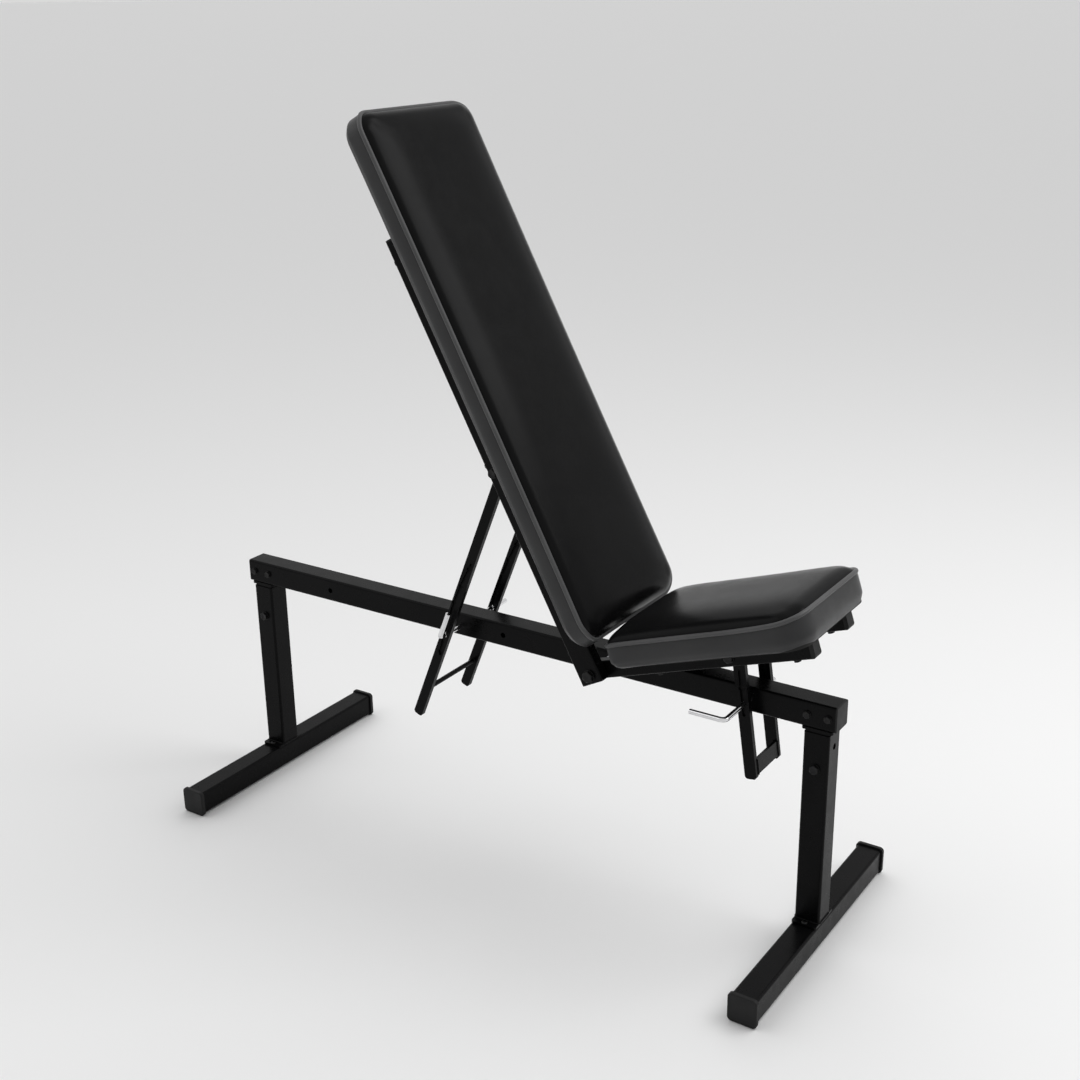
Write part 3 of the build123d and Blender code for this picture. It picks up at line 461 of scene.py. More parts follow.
    def place_ring(self, ring: Ring, seam: Vector) -> Vector:
        """Return a row's point under a point of the seam, along the pad's axes."""
        middle = self.length / 2
        step = ring.inset - self.seam_inset
        x = middle + (seam.x - middle) * (1 - step / middle)
        y = seam.y * (1 - step / self.half)
        z = ring.height * seam.z if ring.of_seam else ring.height
        low_share = max(1 - seam.x / self.flare_reach, 0.0)
        x -= self.low_flare * low_share * min(max(1 - z / seam.z, 0.0), 1.0)
        gap = self.rail_gap
        if z < 0 and self.rail_near - gap < abs(y) < self.rail_far + gap and x < self.rail_end + gap:
            z = self.rail_tuck
        return Vector((x, y, z))

    def cover(self) -> BMesh:
        """Model the closed cover before it swells, and note its seam and its sewn points."""
        bm = bmesh.new()
        counts = [round(size / self.cell) for size in (self.length, 2 * self.half)]
        bmesh.ops.create_grid(bm, x_segments=counts[0], y_segments=counts[1], size=1.0)
        seam_place = bm.verts.layers.float_vector.new("seam_place")
        for vert in bm.verts:
            vert.co = self.on_face(vert.co.x, vert.co.y)
            vert[seam_place] = vert.co
        edges = [edge for edge in bm.edges if edge.is_boundary]
        bm.verts.index_update()
        bm.verts.ensure_lookup_table()
        self.seam = walk_loop(edges)
        sewn = [bm.verts[index] for index in self.seam]
        for ring in self.rings():
            before = set(bm.faces)
            bmesh.ops.extrude_edge_only(bm, edges=edges)
            edges = [edge for edge in bm.edges if edge.is_boundary]
            for face in set(bm.faces) - before:
                face.material_index = 1
            for vert in {vert for edge in edges for vert in edge.verts}:
                vert.co = self.place_ring(ring, Vector(vert[seam_place]))
                if ring.sewn:
                    sewn.append(vert)
        filled = bmesh.ops.edgeloop_fill(bm, edges=edges)["faces"]
        for face in bmesh.ops.triangulate(bm, faces=filled, ngon_method="BEAUTY")["faces"]:
            face.material_index = 1
        bmesh.ops.recalc_face_normals(bm, faces=bm.faces)
        bm.verts.index_update()
        self.welded = [vert.index for vert in sewn]
        bmesh.ops.transform(bm, matrix=self.to_bench, verts=bm.verts)
        return bm

    def swell(self, piece: Object) -> None:
        """Swell the cover with air between its sewn lines, as far as the foam fills it."""
        mesh = piece.data
        group = piece.vertex_groups.new(name="sewn")
        group.add(self.welded, 1.0, "REPLACE")
        ends = inflate(piece, "sewn", self.pressure, self.frames)
        piece.vertex_groups.clear()
        panel = [polygon for polygon in mesh.polygons if polygon.material_index == 0]
        on_face = {index for polygon in panel for index in polygon.vertices}
        steps = []
        for vertex, end in zip(mesh.vertices, ends):
            step = end - vertex.co
            most = self.face_swell if vertex.index in on_face else self.band_swell
            steps.append(step.normalized() * most * (1 - math.exp(-step.length / most)))
        self.calm(mesh, steps, on_face - set(self.seam))
        for vertex, step in zip(mesh.vertices, steps):
            vertex.co += step
        mesh.update()

    def calm(self, mesh: Mesh, steps: list[Vector], loose: set[int]) -> None:
        """Even out how far the face panel's loose points swell, as a taut cover has no wrinkles."""
        beside = {index: [] for index in sorted(loose)}
        for edge in mesh.edges:
            for index, other in (edge.vertices, reversed(edge.vertices)):
                if index in beside:
                    beside[index].append(other)
        for _ in range(self.calm_rounds):
            evened = {}
            for index, others in beside.items():
                around = sum((steps[other] for other in others), Vector())
                evened[index] = 0.5 * steps[index] + 0.5 * around / len(others)
            for index, step in evened.items():
                steps[index] = step

    def welt(self, piece: Object) -> Object:
        """Lay the welt's tube along the seam of the swollen pad; its light grey is partly the welt's own and
        partly painted highlight of the top edge.
        """
        middle = self.to_bench @ Vector((self.length / 2, 0, 0))
        out = self.to_bench.to_3x3() @ Vector((0, 0, 1))
        points = []
        for index in self.seam:
            point = piece.data.vertices[index].co
            away = point - middle
            away -= out * away.dot(out)
            points.append(point + out * self.welt_rise + away.normalized() * self.welt_out)
        return tube(f"{self.name}_welt", [points], self.welt_radius, WELT_VINYL_AND_HIGHLIGHT.build())

    def staples(self, seam: list[Vector], finish: Material) -> Object:
        """Staple the turned-in edge to the board, below the seam's points along the pad's axes."""
        bm = bmesh.new()
        row = Ring(self.staple_row * self.turn_in, -self.cover_thick)
        line = [self.place_ring(row, point) for point in seam]
        lean = math.radians(self.staple_turn)
        size = Matrix.Diagonal((*self.staple_size, 1))
        run = 0.5 * self.staple_pitch
        for point, following in zip(line, line[1:] + line[:1]):
            run += (following - point).length
            if run < self.staple_pitch or point.z > 0:
                continue
            run = 0.0
            step = following - point
            turn = Matrix.Rotation(math.atan2(step.y, step.x) + lean, 4, "Z")
            place = self.to_bench @ Matrix.Translation(point) @ turn @ size
            bmesh.ops.create_cube(bm, size=1.0, matrix=place)
        bmesh.ops.bevel(
            bm, geom=bm.edges[:], offset=self.staple_bevel, affect="EDGES", segments=1, profile=0.5,
            material=-1,
        )
        return new_object(f"{self.name}_staples", bm, finish)

    def build(self, staple_finish: Material) -> None:
        """Build the pad's pieces, hide its CAD solid and hang the pieces on its body."""
        piece = new_object(self.name, self.cover(), FACE_VINYL.build(), BAND_VINYL.build())
        inwards = self.to_bench.inverted()
        seam = [inwards @ piece.data.vertices[index].co for index in self.seam]
        staples = self.staples(seam, staple_finish)
        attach(staples, self.body)
        self.swell(piece)
        welt = self.welt(piece)
        soften(piece)
        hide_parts(self.node)
        for part in (piece, welt):
            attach(part, self.body)
            LOG.info("%s: %d faces", part.name, len(part.data.polygons))


def walk_loop(edges: list[BMEdge]) -> list[int]:
    """Return the indices of a closed loop's vertices in order, from its edges in any order."""
    neighbours: dict[int, list[int]] = {}
    for edge in edges:
        first, second = (vert.index for vert in edge.verts)
        neighbours.setdefault(first, []).append(second)
        neighbours.setdefault(second, []).append(first)
    start = min(neighbours)
    order = [start, min(neighbours[start])]
    while True:
        following = [index for index in neighbours[order[-1]] if index != order[-2]]
        if following[0] == start:
            return order
        order.append(following[0])


def inflate(piece: Object, sewn: str, pressure: float, frames: int) -> list[Vector]:
    """Swell a closed cover with air, its sewn vertices held, and return where each vertex ends."""
    cloth = piece.modifiers.new("air", "CLOTH")
    cloth.settings.quality = 6
    cloth.settings.mass = 0.3
    cloth.settings.use_pressure = True
    cloth.settings.uniform_pressure_force = pressure
    cloth.settings.effector_weights.gravity = 0.0
    cloth.settings.vertex_group_mass = sewn
    cloth.collision_settings.use_collision = False
    cloth.point_cache.frame_start = 1
    cloth.point_cache.frame_end = frames
    scene = bpy.context.scene
    for step in range(1, frames + 1):
        scene.frame_set(step)
    shape = piece.evaluated_get(bpy.context.evaluated_depsgraph_get())
    ends = [vertex.co.copy() for vertex in shape.data.vertices]
    piece.modifiers.remove(cloth)
    scene.frame_set(1)
    return ends


def soften(piece: Object) -> None:
    """Finish a piece with one subdivision."""
    finer = piece.modifiers.new("finer", "SUBSURF")
    finer.use_limit_surface = False
    finer.levels = 1
    finer.render_levels = 1


def tube(
    name: str, lines: list[list[Vector]], radius: float, finish: Material,
    closed: bool = True, ripple: float = 0.0,
) -> Object:
    """Make round tubes along lines of points.

    Args:
        name: The piece's name.
        lines: The points of each line, in order.
        radius: The tube's radius in metres.
        finish: Its material.
        closed: Whether the lines are loops.
        ripple: The share by which every second point is thinner.

    Returns:
        One object with all the tubes.
    """
    curve = bpy.data.curves.new(f"{name}_line", "CURVE")
    curve.dimensions = "3D"
    curve.bevel_depth = radius
    curve.bevel_resolution = 3
    curve.resolution_u = 1
    curve.use_fill_caps = not closed
    for points in lines:
        spline = curve.splines.new("NURBS")
        spline.points.add(len(points) - 1)
        for index, (place, point) in enumerate(zip(spline.points, points)):
            place.co = (*point, 1)
            place.radius = 1 - ripple * (index % 2)
        spline.use_cyclic_u = closed
        spline.order_u = 3
        spline.use_endpoint_u = not closed
    line = bpy.data.objects.new(f"{name}_line", curve)
    bpy.context.scene.collection.objects.link(line)
    mesh = bpy.data.meshes.new_from_object(line.evaluated_get(bpy.context.evaluated_depsgraph_get()))
    bpy.data.objects.remove(line)
    bpy.data.curves.remove(curve)
    bm = bmesh.new()
    bm.from_mesh(mesh)
    bpy.data.meshes.remove(mesh)
    bmesh.ops.remove_doubles(bm, verts=bm.verts, dist=TOLERANCE)
    bmesh.ops.recalc_face_normals(bm, faces=bm.faces)
    for face in bm.faces:
        face.material_index = 0
    return new_object(name, bm, finish)


def connected(items: list, beside: Callable[[object], set]) -> list[list]:
    """Sort a bmesh's points or edges into groups, given what lies beside one of them."""
    left = set(items)
    groups = []
    while left:
        front = [left.pop()]
        found = list(front)
        while front:
            near = beside(front.pop()) & left
            left -= near
            front += near
            found += near
        groups.append(found)
    return groups


def solids_of(node: str) -> list[list[Vector]]:
    """Return the points of each solid of a CAD node, the solids in order of their lowest corner."""
    bm = bmesh.new()
    bm.from_mesh(frame["nodes"][node].data)
    bmesh.ops.remove_doubles(bm, verts=bm.verts, dist=SAME_POINT)
    groups = connected(bm.verts, lambda vert: {edge.other_vert(vert) for edge in vert.link_edges})
    solids = [[vert.co.copy() for vert in group] for group in groups]
    bm.free()
    return sorted(solids, key=lambda points: list(corners(points)[0]))


def corners(points: list[Vector]) -> tuple[Vector, Vector]:
    """Return the lowest and highest corner of some points."""
    low = Vector(min(point[axis] for point in points) for axis in range(3))
    high = Vector(max(point[axis] for point in points) for axis in range(3))
    return low, high


@dataclass(frozen=True)
class TurnRing:
    """One ring of a turned shape, round or with six flats."""

    radius: float
    height: float
    flats: bool = False
    slope: float = 0.0


def add_turning(bm: BMesh, place: Matrix, rings: list[TurnRing], segments: int = 36) -> None:
    """Add a closed turned shape to a bmesh, with its axis along Z of its place, ring after ring."""
    angle = bm.verts.layers.float.get("angle") or bm.verts.layers.float.new("angle")
    ring_verts = bmesh.ops.create_circle(bm, cap_ends=False, segments=segments, radius=1.0)["verts"]
    for vert in ring_verts:
        vert[angle] = math.atan2(vert.co.y, vert.co.x)
    edges = list({edge for vert in ring_verts for edge in vert.link_edges})
    made = list(ring_verts)
    first = edges
    for index, ring in enumerate(rings):
        if index:
            grown = bmesh.ops.extrude_edge_only(bm, edges=edges)["geom"]
            ring_verts = [item for item in grown if isinstance(item, BMVert)]
            made += ring_verts
            fresh = set(ring_verts)
            around = {edge for vert in fresh for edge in vert.link_edges}
            edges = [edge for edge in around if fresh.issuperset(edge.verts)]
        for vert in ring_verts:
            turn = (vert[angle] + math.pi / 6) % (math.pi / 3) - math.pi / 6
            radius = ring.radius / math.cos(turn) if ring.flats else ring.radius
            height = ring.height - ring.slope * (radius - ring.radius)
            vert.co = (radius * math.cos(vert[angle]), radius * math.sin(vert[angle]), height)
    for end in (first, edges):
        bmesh.ops.edgeloop_fill(bm, edges=end)
    bmesh.ops.transform(bm, matrix=place, verts=made)


class Head(Enum):
    """The kinds of fastener ends."""

    HEX = "hexagon head on a washer"
    NUT = "hexagon nut on a washer"
    DOME = "low dome with a hexagon socket"


@dataclass(frozen=True)
class FastenerSet:
    """The fasteners of one CAD node, with chamfered heads and washers."""

    name: str
    node: str
    body: str
    head: Head
    out: Triple
    flats: float
    height: float
    shank: float
    past: float = 0.0
    washer: float = 1.1 * MM
    washer_share: float = 1.22
    washer_edge: float = 0.25 * MM
    chamfer: float = 0.577
    top_share: float = 0.94
    dish: Pair = (0.66, 0.56)
    dish_depth: float = 0.3 * MM
    countersink: Pair = (0.7 * MM, 0.8 * MM)
    dome: tuple[Pair, ...] = ((1.0, 0.0), (1.0, 0.32), (0.93, 0.6), (0.75, 0.88), (0.55, 1.0))
    socket: Pair = (0.4, 0.6)
    point: float = 0.8 * MM
    root: float = 0.2 * MM

    def head_rings(self, seat: float, top: float) -> list[TurnRing]:
        """Return the rings of a head or a nut between its seat and its top."""
        half = self.flats / 2
        if self.head is Head.DOME:
            wide, deep = self.socket[0] * half, self.socket[1] * self.height
            socket = [TurnRing(wide, top, flats=True), TurnRing(wide, top - deep, flats=True)]
            dome = [TurnRing(share * half, seat + rise * (top - seat)) for share, rise in self.dome]
            return dome + socket
        wide = self.washer_share * half
        ledge = seat + self.washer
        flat_top = self.top_share * half
        rings = [
            TurnRing(wide, seat), TurnRing(wide, ledge - self.washer_edge),
            TurnRing(wide - self.washer_edge, ledge), TurnRing(half, ledge, flats=True),
            TurnRing(half, top - self.chamfer * (half - flat_top), flats=True, slope=self.chamfer),
            TurnRing(flat_top, top),
        ]
        if self.head is Head.NUT:
            wider, deep = self.countersink
            return rings + [TurnRing(self.shank + wider, top), TurnRing(self.shank, top - deep)]
        rim, floor = self.dish
        return rings + [TurnRing(rim * half, top), TurnRing(floor * half, top - self.dish_depth)]

    def build(self, finish: Material) -> None:
        """Build the set in place of its CAD node."""
        bm = bmesh.new()
        turned = Vector(self.out).to_track_quat("Z", "Y").to_matrix().to_4x4()
        back = turned.inverted()
        for points in solids_of(self.node):
            low, high = corners([back @ point for point in points])
            place = turned @ Matrix.Translation(((low.x + high.x) / 2, (low.y + high.y) / 2, 0))
            seat = high.z - self.height
            add_turning(bm, place, self.head_rings(seat, high.z))
            if self.head is not Head.NUT:
                end = low.z - self.past
                shank = [
                    TurnRing(self.shank - self.point, end), TurnRing(self.shank, end + self.point),
                    TurnRing(self.shank, seat + self.root),
                ]
                add_turning(bm, place, shank, segments=24)
        bmesh.ops.recalc_face_normals(bm, faces=bm.faces)
        piece = new_object(self.name, bm, finish)
        sharpen(piece)
        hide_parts(self.node)
        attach(piece, self.body)
        LOG.info("%s: %s", self.name, self.head.value)


def sharpen(piece: Object, angle: float = 28.0) -> None:
    """Keep a piece's edges crisp where its faces turn by more than an angle."""
    piece.data.set_sharp_from_angle(angle=math.radians(angle))


@dataclass(frozen=True)
class SlotShade:
    """Thin dark sheets in the slot of a strut's bars either side of the lock pin: painted shade that darkens the
    open slot.
    """

    name: str
    bars: tuple[str, str]
    body: str
    pin: Pair
    free: float = 4.6 * MM
    thick: float = 1.2 * MM

    def add_bar(self, bm: BMesh, bar: str) -> None:
        """Add the painted-shade sheets of one bar, named by its CAD node."""
        flat = bmesh.new()
        flat.from_mesh(frame["nodes"][bar].data)
        bmesh.ops.remove_doubles(flat, verts=flat.verts, dist=SAME_POINT)
        low, high = corners([vert.co for vert in flat.verts])
        off = [face for face in flat.faces if any(vert.co.y > low.y + TOLERANCE for vert in face.verts)]
        bmesh.ops.delete(flat, geom=off, context="FACES")
        flat.verts.index_update()
        flat.verts.ensure_lookup_table()
        rims = [edge for edge in flat.edges if edge.is_boundary]
        loops = connected(rims, lambda edge: {other for vert in edge.verts for other in vert.link_edges})
        paths = [[flat.verts[index].co.copy() for index in walk_loop(loop)] for loop in loops]
        flat.free()
        paths.sort(key=lambda path: (corners(path)[1] - corners(path)[0]).length)
        slot = paths[-2]
        foot, tip = min(slot, key=lambda point: point.z), max(slot, key=lambda point: point.z)
        along = (tip - foot).normalized()
        middle = (low.y + high.y - self.thick) / 2
        for side in (-1, 1):
            half = bmesh.new()
            half.faces.new([half.verts.new((point.x, middle, point.z)) for point in slot])
            cut = Vector((self.pin[0], middle, self.pin[1])) + along * side * self.free
            everything = half.verts[:] + half.edges[:] + half.faces[:]
            bmesh.ops.bisect_plane(
                half, geom=everything, plane_co=cut, plane_no=along * side, clear_inner=True,
            )
            grown = bmesh.ops.extrude_face_region(half, geom=half.faces[:])["geom"]
            lifted = [item for item in grown if isinstance(item, BMVert)]
            bmesh.ops.translate(half, verts=lifted, vec=(0, self.thick, 0))
            bmesh.ops.recalc_face_normals(half, faces=half.faces)
            mesh = bpy.data.meshes.new("half_shade")
            half.to_mesh(mesh)
            half.free()
            bm.from_mesh(mesh)
            bpy.data.meshes.remove(mesh)

    def build(self, finish: Material) -> None:
        """Build the painted-shade sheets of both bars."""
        bm = bmesh.new()
        for bar in self.bars:
            self.add_bar(bm, bar)
        piece = new_object(self.name, bm, finish)
        sharpen(piece)
        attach(piece, self.body)
        LOG.info("%s: %d faces", self.name, len(piece.data.polygons))


@dataclass(frozen=True)
class Welds:
    """Weld beads where the tubes and bars meet."""

    radius: float = 1.9 * MM
    step: float = 1.7 * MM
    ripple: float = 0.16
    post_corner: float = 4 * MM
    board_gap: float = 2 * MM
    rod_steps: int = 20

    def stepped(self, points: list[Vector], closed: bool) -> list[Vector]:
        """Divide a line between corners, or a closed loop, into short even steps."""
        ends = points[1:] + points[:1] if closed else points[1:]
        line = []
        for start, end in zip(points, ends):
            count = max(2, 2 * round((end - start).length / self.step / 2))
            line += [start.lerp(end, share / count) for share in range(count)]
        return line if closed else line + [points[-1]]

    def post_rings(self) -> list[list[Vector]]:
        """Return the beads round the posts' feet."""
        rings = []
        for node in ("rear_post", "front_post"):
            low, high = (Vector(corner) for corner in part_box(node))
            cut = self.post_corner
            outline = (
                (low.x + cut, low.y), (high.x - cut, low.y), (high.x, low.y + cut), (high.x, high.y - cut),
                (high.x - cut, high.y), (low.x + cut, high.y), (low.x, high.y - cut), (low.x, low.y + cut),
            )
            rings.append(self.stepped([Vector((x, y, low.z)) for x, y in outline], closed=True))
        return rings

    def backrest_lines(self) -> list[list[Vector]]:
        """Return the beads round the ends of the backrest's ties."""
        lines = []
        for node in ("backrest_lower_tie", "backrest_upper_tie"):
            low, high = BACKREST_TILT.inside(node)
            top = high.z - self.board_gap
            for y in (low.y, high.y):
                places = ((low.x, y, top), (low.x, y, low.z), (high.x, y, low.z), (high.x, y, top))
                points = [BACKREST_TILT.matrix @ Vector(place) for place in places]
                lines.append(self.stepped(points, closed=False))
        return lines

    def seat_lines(self) -> list[list[Vector]]:
        """Return the beads under the ends of the seat's ties."""
        lines = []
        back = SEAT_TILT.matrix.inverted()
        for points in solids_of("seat_ties"):
            low, high = corners([back @ point for point in points])
            for y in (low.y, high.y):
                ends = [SEAT_TILT.matrix @ Vector((x, y, low.z)) for x in (low.x, high.x)]
                lines.append(self.stepped(ends, closed=False))
        return lines

    def rod_rings(self) -> list[list[Vector]]:
        """Return the beads round the ends of the backrest strut's rod."""
        low, high = (Vector(corner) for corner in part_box("strut_cross_rod"))
        middle, radius = (low + high) / 2, (high.x - low.x) / 2
        turns = [step * math.tau / self.rod_steps for step in range(self.rod_steps)]
        ring = [(middle.x + radius * math.cos(turn), middle.z + radius * math.sin(turn)) for turn in turns]
        return [[Vector((x, y, z)) for x, z in ring] for y in (low.y, high.y)]

    def plate_lines(self) -> list[list[Vector]]:
        """Return the beads along the ends of the seat strut's plate."""
        points = solids_of("seat_strut_plate")[0]
        low, high = corners(points)
        lines = []
        for y in (low.y, high.y):
            end = [point for point in points if abs(point.y - y) < TOLERANCE]
            top = sorted(end, key=lambda point: -point.z)[:2]
            foot = sorted(end, key=lambda point: point.z)[:2]
            for first in top:
                nearest = min(foot, key=lambda point: (point - first).length)
                lines.append(self.stepped([first, nearest], closed=False))
        return lines

    def build(self, finish: Material) -> None:
        """Lay the beads on each body."""
        sets = (
            ("post_welds", "frame", self.post_rings(), True),
            ("backrest_tie_welds", "backrest", self.backrest_lines(), False),
            ("seat_tie_welds", "seat", self.seat_lines(), False),
            ("strut_rod_welds", "backrest_strut", self.rod_rings(), True),
            ("seat_strut_welds", "seat_strut", self.plate_lines(), False),
        )
        for name, body, lines, closed in sets:
            piece = tube(name, lines, self.radius, finish, closed, self.ripple)
            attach(piece, body)
            LOG.info("%s: %d beads", name, len(lines))


class Steelwork:
    """The pieces that keep their CAD shape: tubes, caps, bars, boards and pins."""

    def __init__(self) -> None:
        """Make one material for each slot."""
        self.finishes = {slot.value: finish.build() for slot, finish in FRAME_FINISHES.items()}

    def dress(self) -> None:
        """Give the CAD nodes the finishes of their slots."""
        for part in frame["record"]["subparts"]:
            finish = self.finishes.get(part["material_slot"])
            if finish is None:
                continue
            for slot in frame["nodes"][part["node"]].material_slots:
                slot.material = finish
            LOG.info("%s: %s", part["node"], finish.name)


@dataclass(frozen=True)
class Lamp:
    """A soft square lamp that looks at the bench."""

    name: str
    place: Triple
    width: float
    watts: float
    target: Triple = (0.05, 0.0, 0.45)

    def build(self) -> None:
        """Hang the lamp."""
        light = bpy.data.lights.new(self.name, "AREA")
        light.shape = "SQUARE"
        light.size = self.width
        light.energy = self.watts
        lamp = bpy.data.objects.new(self.name, light)
        lamp.location = self.place
        aim = Vector(self.target) - Vector(self.place)
        lamp.rotation_euler = aim.to_track_quat("-Z", "Y").to_euler()
        bpy.context.scene.collection.objects.link(lamp)


@dataclass(frozen=True)
class Studio:
    """The plain floor, the soft light and the camera."""

    sensor: float = 36.0
    lens: float = 49.8
    camera_place: Triple = (1.2770, -1.8199, 1.3648)
    azimuth: float = 33.91
    elevation: float = 20.22
    roll: float = -0.93
    floor_reach: float = 400.0
    floor_colour: Colour = (0.86, 0.86, 0.86)
    floor_roughness: float = 0.9
    floor_specular: float = 0.1
    sky_low: float = 0.2
    sky_high: float = 1.75
    sky_axis: Triple = (-0.5, 0.62, 0.6)
    backdrop: float = 0.7
    lamps: tuple[Lamp, ...] = (
        Lamp("key_lamp", (1.9, 0.9, 2.7), 2.2, 40.0),
        Lamp("fill_lamp", (-1.6, -1.4, 2.4), 2.4, 10.0),
    )

    def camera(self) -> None:
        """Set the camera at the photograph's angle."""
        turn, lift, roll = (math.radians(angle) for angle in (self.azimuth, self.elevation, self.roll))
        level = math.cos(lift)
        back = Vector((math.sin(turn) * level, -math.cos(turn) * level, math.sin(lift)))
        right = (-back).cross(Vector((0, 0, 1))).normalized()
        up = right.cross(-back)
        rolled_right = right * math.cos(roll) + up * math.sin(roll)
        rolled_up = up * math.cos(roll) - right * math.sin(roll)
        data = bpy.data.cameras.new("camera")
        data.sensor_width = self.sensor
        data.lens = self.lens
        data.clip_end = 2 * self.floor_reach
        camera = bpy.data.objects.new("camera", data)
        axes = Matrix((rolled_right, rolled_up, back)).transposed().to_4x4()
        camera.matrix_world = Matrix.Translation(self.camera_place) @ axes
        bpy.context.scene.collection.objects.link(camera)
        bpy.context.scene.camera = camera

    def floor(self) -> None:
        """Lay the pale floor."""
        tree = ShaderTree("pale_floor")
        tree.set("Base Color", (*self.floor_colour, 1))
        tree.set("Roughness", self.floor_roughness)
        tree.set("Specular IOR Level", self.floor_specular)
        bm = bmesh.new()
        bmesh.ops.create_grid(bm, x_segments=1, y_segments=1, size=self.floor_reach)
        new_object("floor", bm, tree.material)

    def backdrop_rays(self, tree: NodeTree) -> NodeSocket:
        """Return 1 for rays that meet the plain backdrop: the camera's, or off metal or in glass."""
        rays = tree.nodes.new("ShaderNodeLightPath").outputs
        seen = rays["Is Camera Ray"]
        for kind in ("Is Glossy Ray", "Is Transmission Ray"):
            either = tree.nodes.new("ShaderNodeMath")
            either.operation = "MAXIMUM"
            tree.links.new(seen, either.inputs[0])
            tree.links.new(rays[kind], either.inputs[1])
            seen = either.outputs[0]
        return seen

    def sky(self) -> None:
        """Light the bench softly, with the light side up and behind it, before a plain backdrop."""
        world = bpy.data.worlds.new("soft_light")
        bpy.context.scene.world = world
        world.use_nodes = True
        nodes, links = world.node_tree.nodes, world.node_tree.links
        nodes.clear()
        output = nodes.new("ShaderNodeOutputWorld")
        soft = nodes.new("ShaderNodeBackground")
        plain = nodes.new("ShaderNodeBackground")
        plain.inputs["Color"].default_value = (self.backdrop,) * 3 + (1,)
        share = nodes.new("ShaderNodeVectorMath")
        share.operation = "DOT_PRODUCT"
        share.inputs[1].default_value = Vector(self.sky_axis).normalized()
        links.new(nodes.new("ShaderNodeTexCoord").outputs["Generated"], share.inputs[0])
        level = nodes.new("ShaderNodeMapRange")
        for socket, number in zip(RANGE_SOCKETS, (*FULL_RANGE, self.sky_low, self.sky_high)):
            level.inputs[socket].default_value = number
        links.new(share.outputs["Value"], level.inputs["Value"])
        links.new(level.outputs["Result"], soft.inputs["Strength"])
        shown = nodes.new("ShaderNodeMixShader")
        links.new(self.backdrop_rays(world.node_tree), shown.inputs[0])
        links.new(soft.outputs[0], shown.inputs[1])
        links.new(plain.outputs[0], shown.inputs[2])
        links.new(shown.outputs[0], output.inputs["Surface"])

    def build(self) -> None:
        """Set up the floor, the light, the camera and the view."""
        self.floor()
        self.sky()
        for lamp in self.lamps:
            lamp.build()
        self.camera()
        bpy.context.scene.view_settings.view_transform = "Standard"


BACKREST_PAD = Pad(
    "backrest_cushion", "backrest_pad", "backrest_board", "backrest_rail_right", "backrest", BACKREST_TILT,
    low_corner=42 * MM, high_corner=34 * MM, low_round=20 * MM, high_round=11 * MM, draw=3 * MM,
    seam_height=36 * MM, shoulder=12 * MM, arch=4 * MM, high_reach=16 * MM, low_flare=9 * MM,
)
SEAT_PAD = Pad(
    "seat_cushion", "seat_pad", "seat_board", "seat_rail_right", "seat", SEAT_TILT,
    low_corner=16 * MM, high_corner=46 * MM, low_round=22 * MM, high_round=-11 * MM, draw=2 * MM,
    seam_height=38 * MM, shoulder=12 * MM, arch=11 * MM, shoulder_reach=14 * MM, ease_reach=22 * MM,
    high_reach=140 * MM, corner_hold=0.85,
)

RIGHT, LEFT, UP = (0, -1, 0), (0, 1, 0), (0, 0, 1)
BEHIND = tuple(-BACKREST_TILT.matrix.to_3x3().col[2])
BENEATH = tuple(-SEAT_TILT.matrix.to_3x3().col[2])
PAST_NUT = 1.6 * MM

# Width across flats, height of the head and radius of the shank
M6, M8, M10 = (10 * MM, 4 * MM, 3 * MM), (13 * MM, 5.3 * MM, 4 * MM), (16 * MM, 6.4 * MM, 5 * MM)
M6_NUT, M8_NUT, M10_NUT = (10 * MM, 5 * MM, 3 * MM), (13 * MM, 6.5 * MM, 4 * MM), (16 * MM, 8 * MM, 5 * MM)
M6_DOME = (10 * MM, 2.6 * MM, 3 * MM)


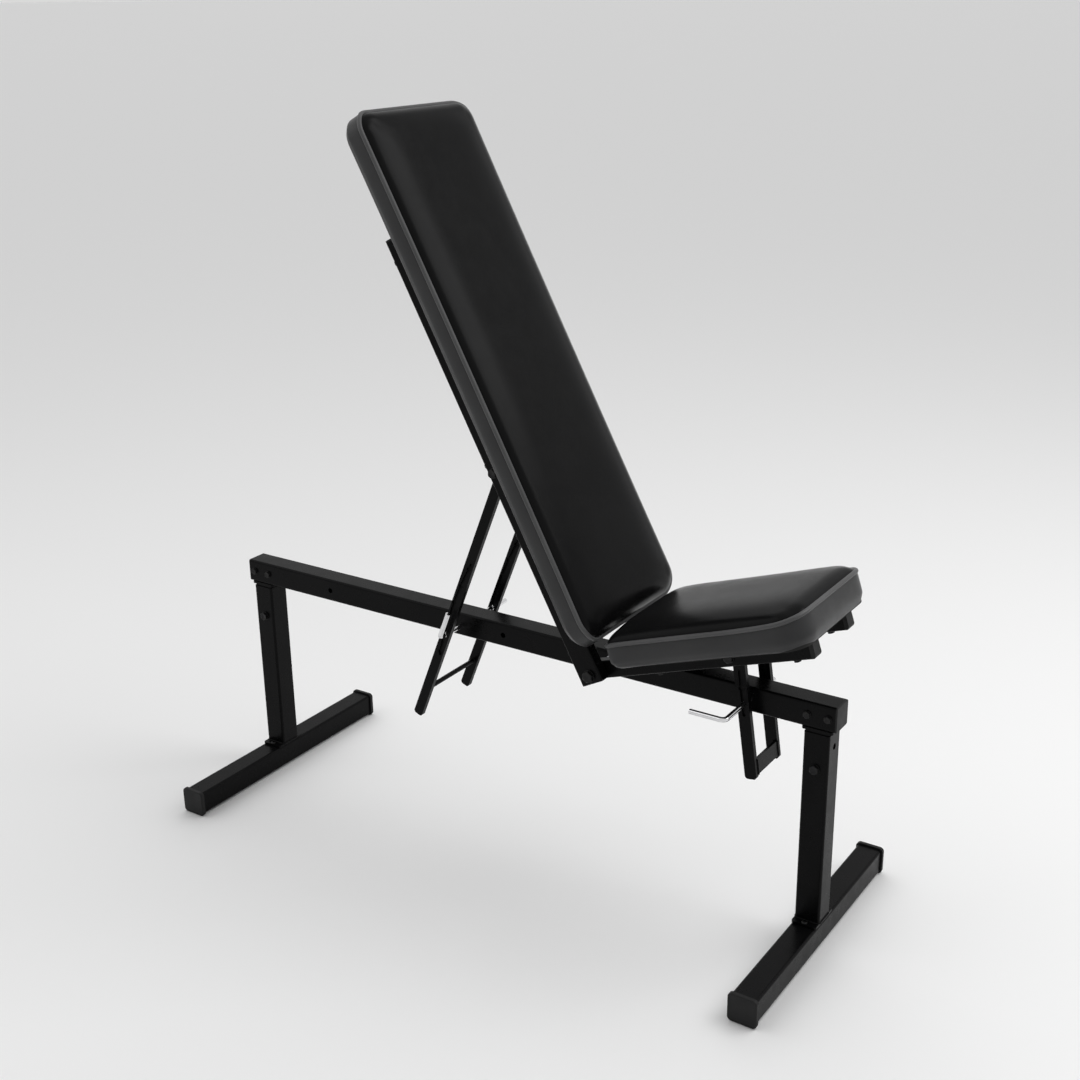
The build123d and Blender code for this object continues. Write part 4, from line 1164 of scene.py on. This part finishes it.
def bolted(stem: str, body: str, bolt: Triple, nut: Triple, ending: str = "") -> tuple[FastenerSet, ...]:
    """List the bolts of a joint, which go in from the right, and their nuts."""
    bolts, nuts = f"bolt{ending}", f"nut{ending}"
    return (
        FastenerSet(f"{stem}_hex_{bolts}", f"{stem}_{bolts}", body, Head.HEX, RIGHT, *bolt, past=PAST_NUT),
        FastenerSet(f"{stem}_hex_{nuts}", f"{stem}_{nuts}", body, Head.NUT, LEFT, *nut),
    )


FASTENERS = (
    *bolted("leg_head", "frame", M6, M6_NUT, "s"),
    *bolted("post", "frame", M8, M8_NUT, "s"),
    FastenerSet("foot_dome_screws", "foot_screws", "frame", Head.DOME, UP, *M6_DOME),
    *bolted("pivot", "frame", M10, M10_NUT),
    FastenerSet("backrest_hex_bolts", "backrest_bolts", "backrest", Head.HEX, BEHIND, *M6),
    *bolted("strut_hinge", "backrest", M8, M8_NUT),
    FastenerSet("seat_hex_bolts", "seat_bolts", "seat", Head.HEX, BENEATH, *M6),
    *bolted("seat_hinge", "seat", M8, M8_NUT),
)
REAR_PIN, FRONT_PIN = (-0.089, 0.3875), (0.4315, 0.3875)
# Painted shade: dark sheets that fill the struts' slots round the lock pins
SLOT_SHADES = (
    SlotShade("strut_slot_shade", ("strut_bar_right", "strut_bar_left"), "backrest_strut", REAR_PIN),
    SlotShade(
        "seat_strut_slot_shade", ("seat_strut_bar_right", "seat_strut_bar_left"), "seat_strut", FRONT_PIN,
    ),
)


def main() -> None:
    """Build the bench's looks in order."""
    logging.basicConfig(level=logging.INFO, format="%(message)s")
    Studio().build()
    steelwork = Steelwork()
    steelwork.dress()
    slots = (Slot.POWDER_COAT, Slot.OXIDE, Slot.ZINC)
    coat, oxide, zinc = (steelwork.finishes[slot.value] for slot in slots)
    for fasteners in FASTENERS:
        fasteners.build(oxide)
    # Painted shade: the dark sheets in the struts' slots
    slot_shade = SLOT_SHADE.build()
    for lip in SLOT_SHADES:
        lip.build(slot_shade)
    Welds().build(coat)
    for pad in (BACKREST_PAD, SEAT_PAD):
        pad.build(zinc)


if __name__ == "__main__":
    main()
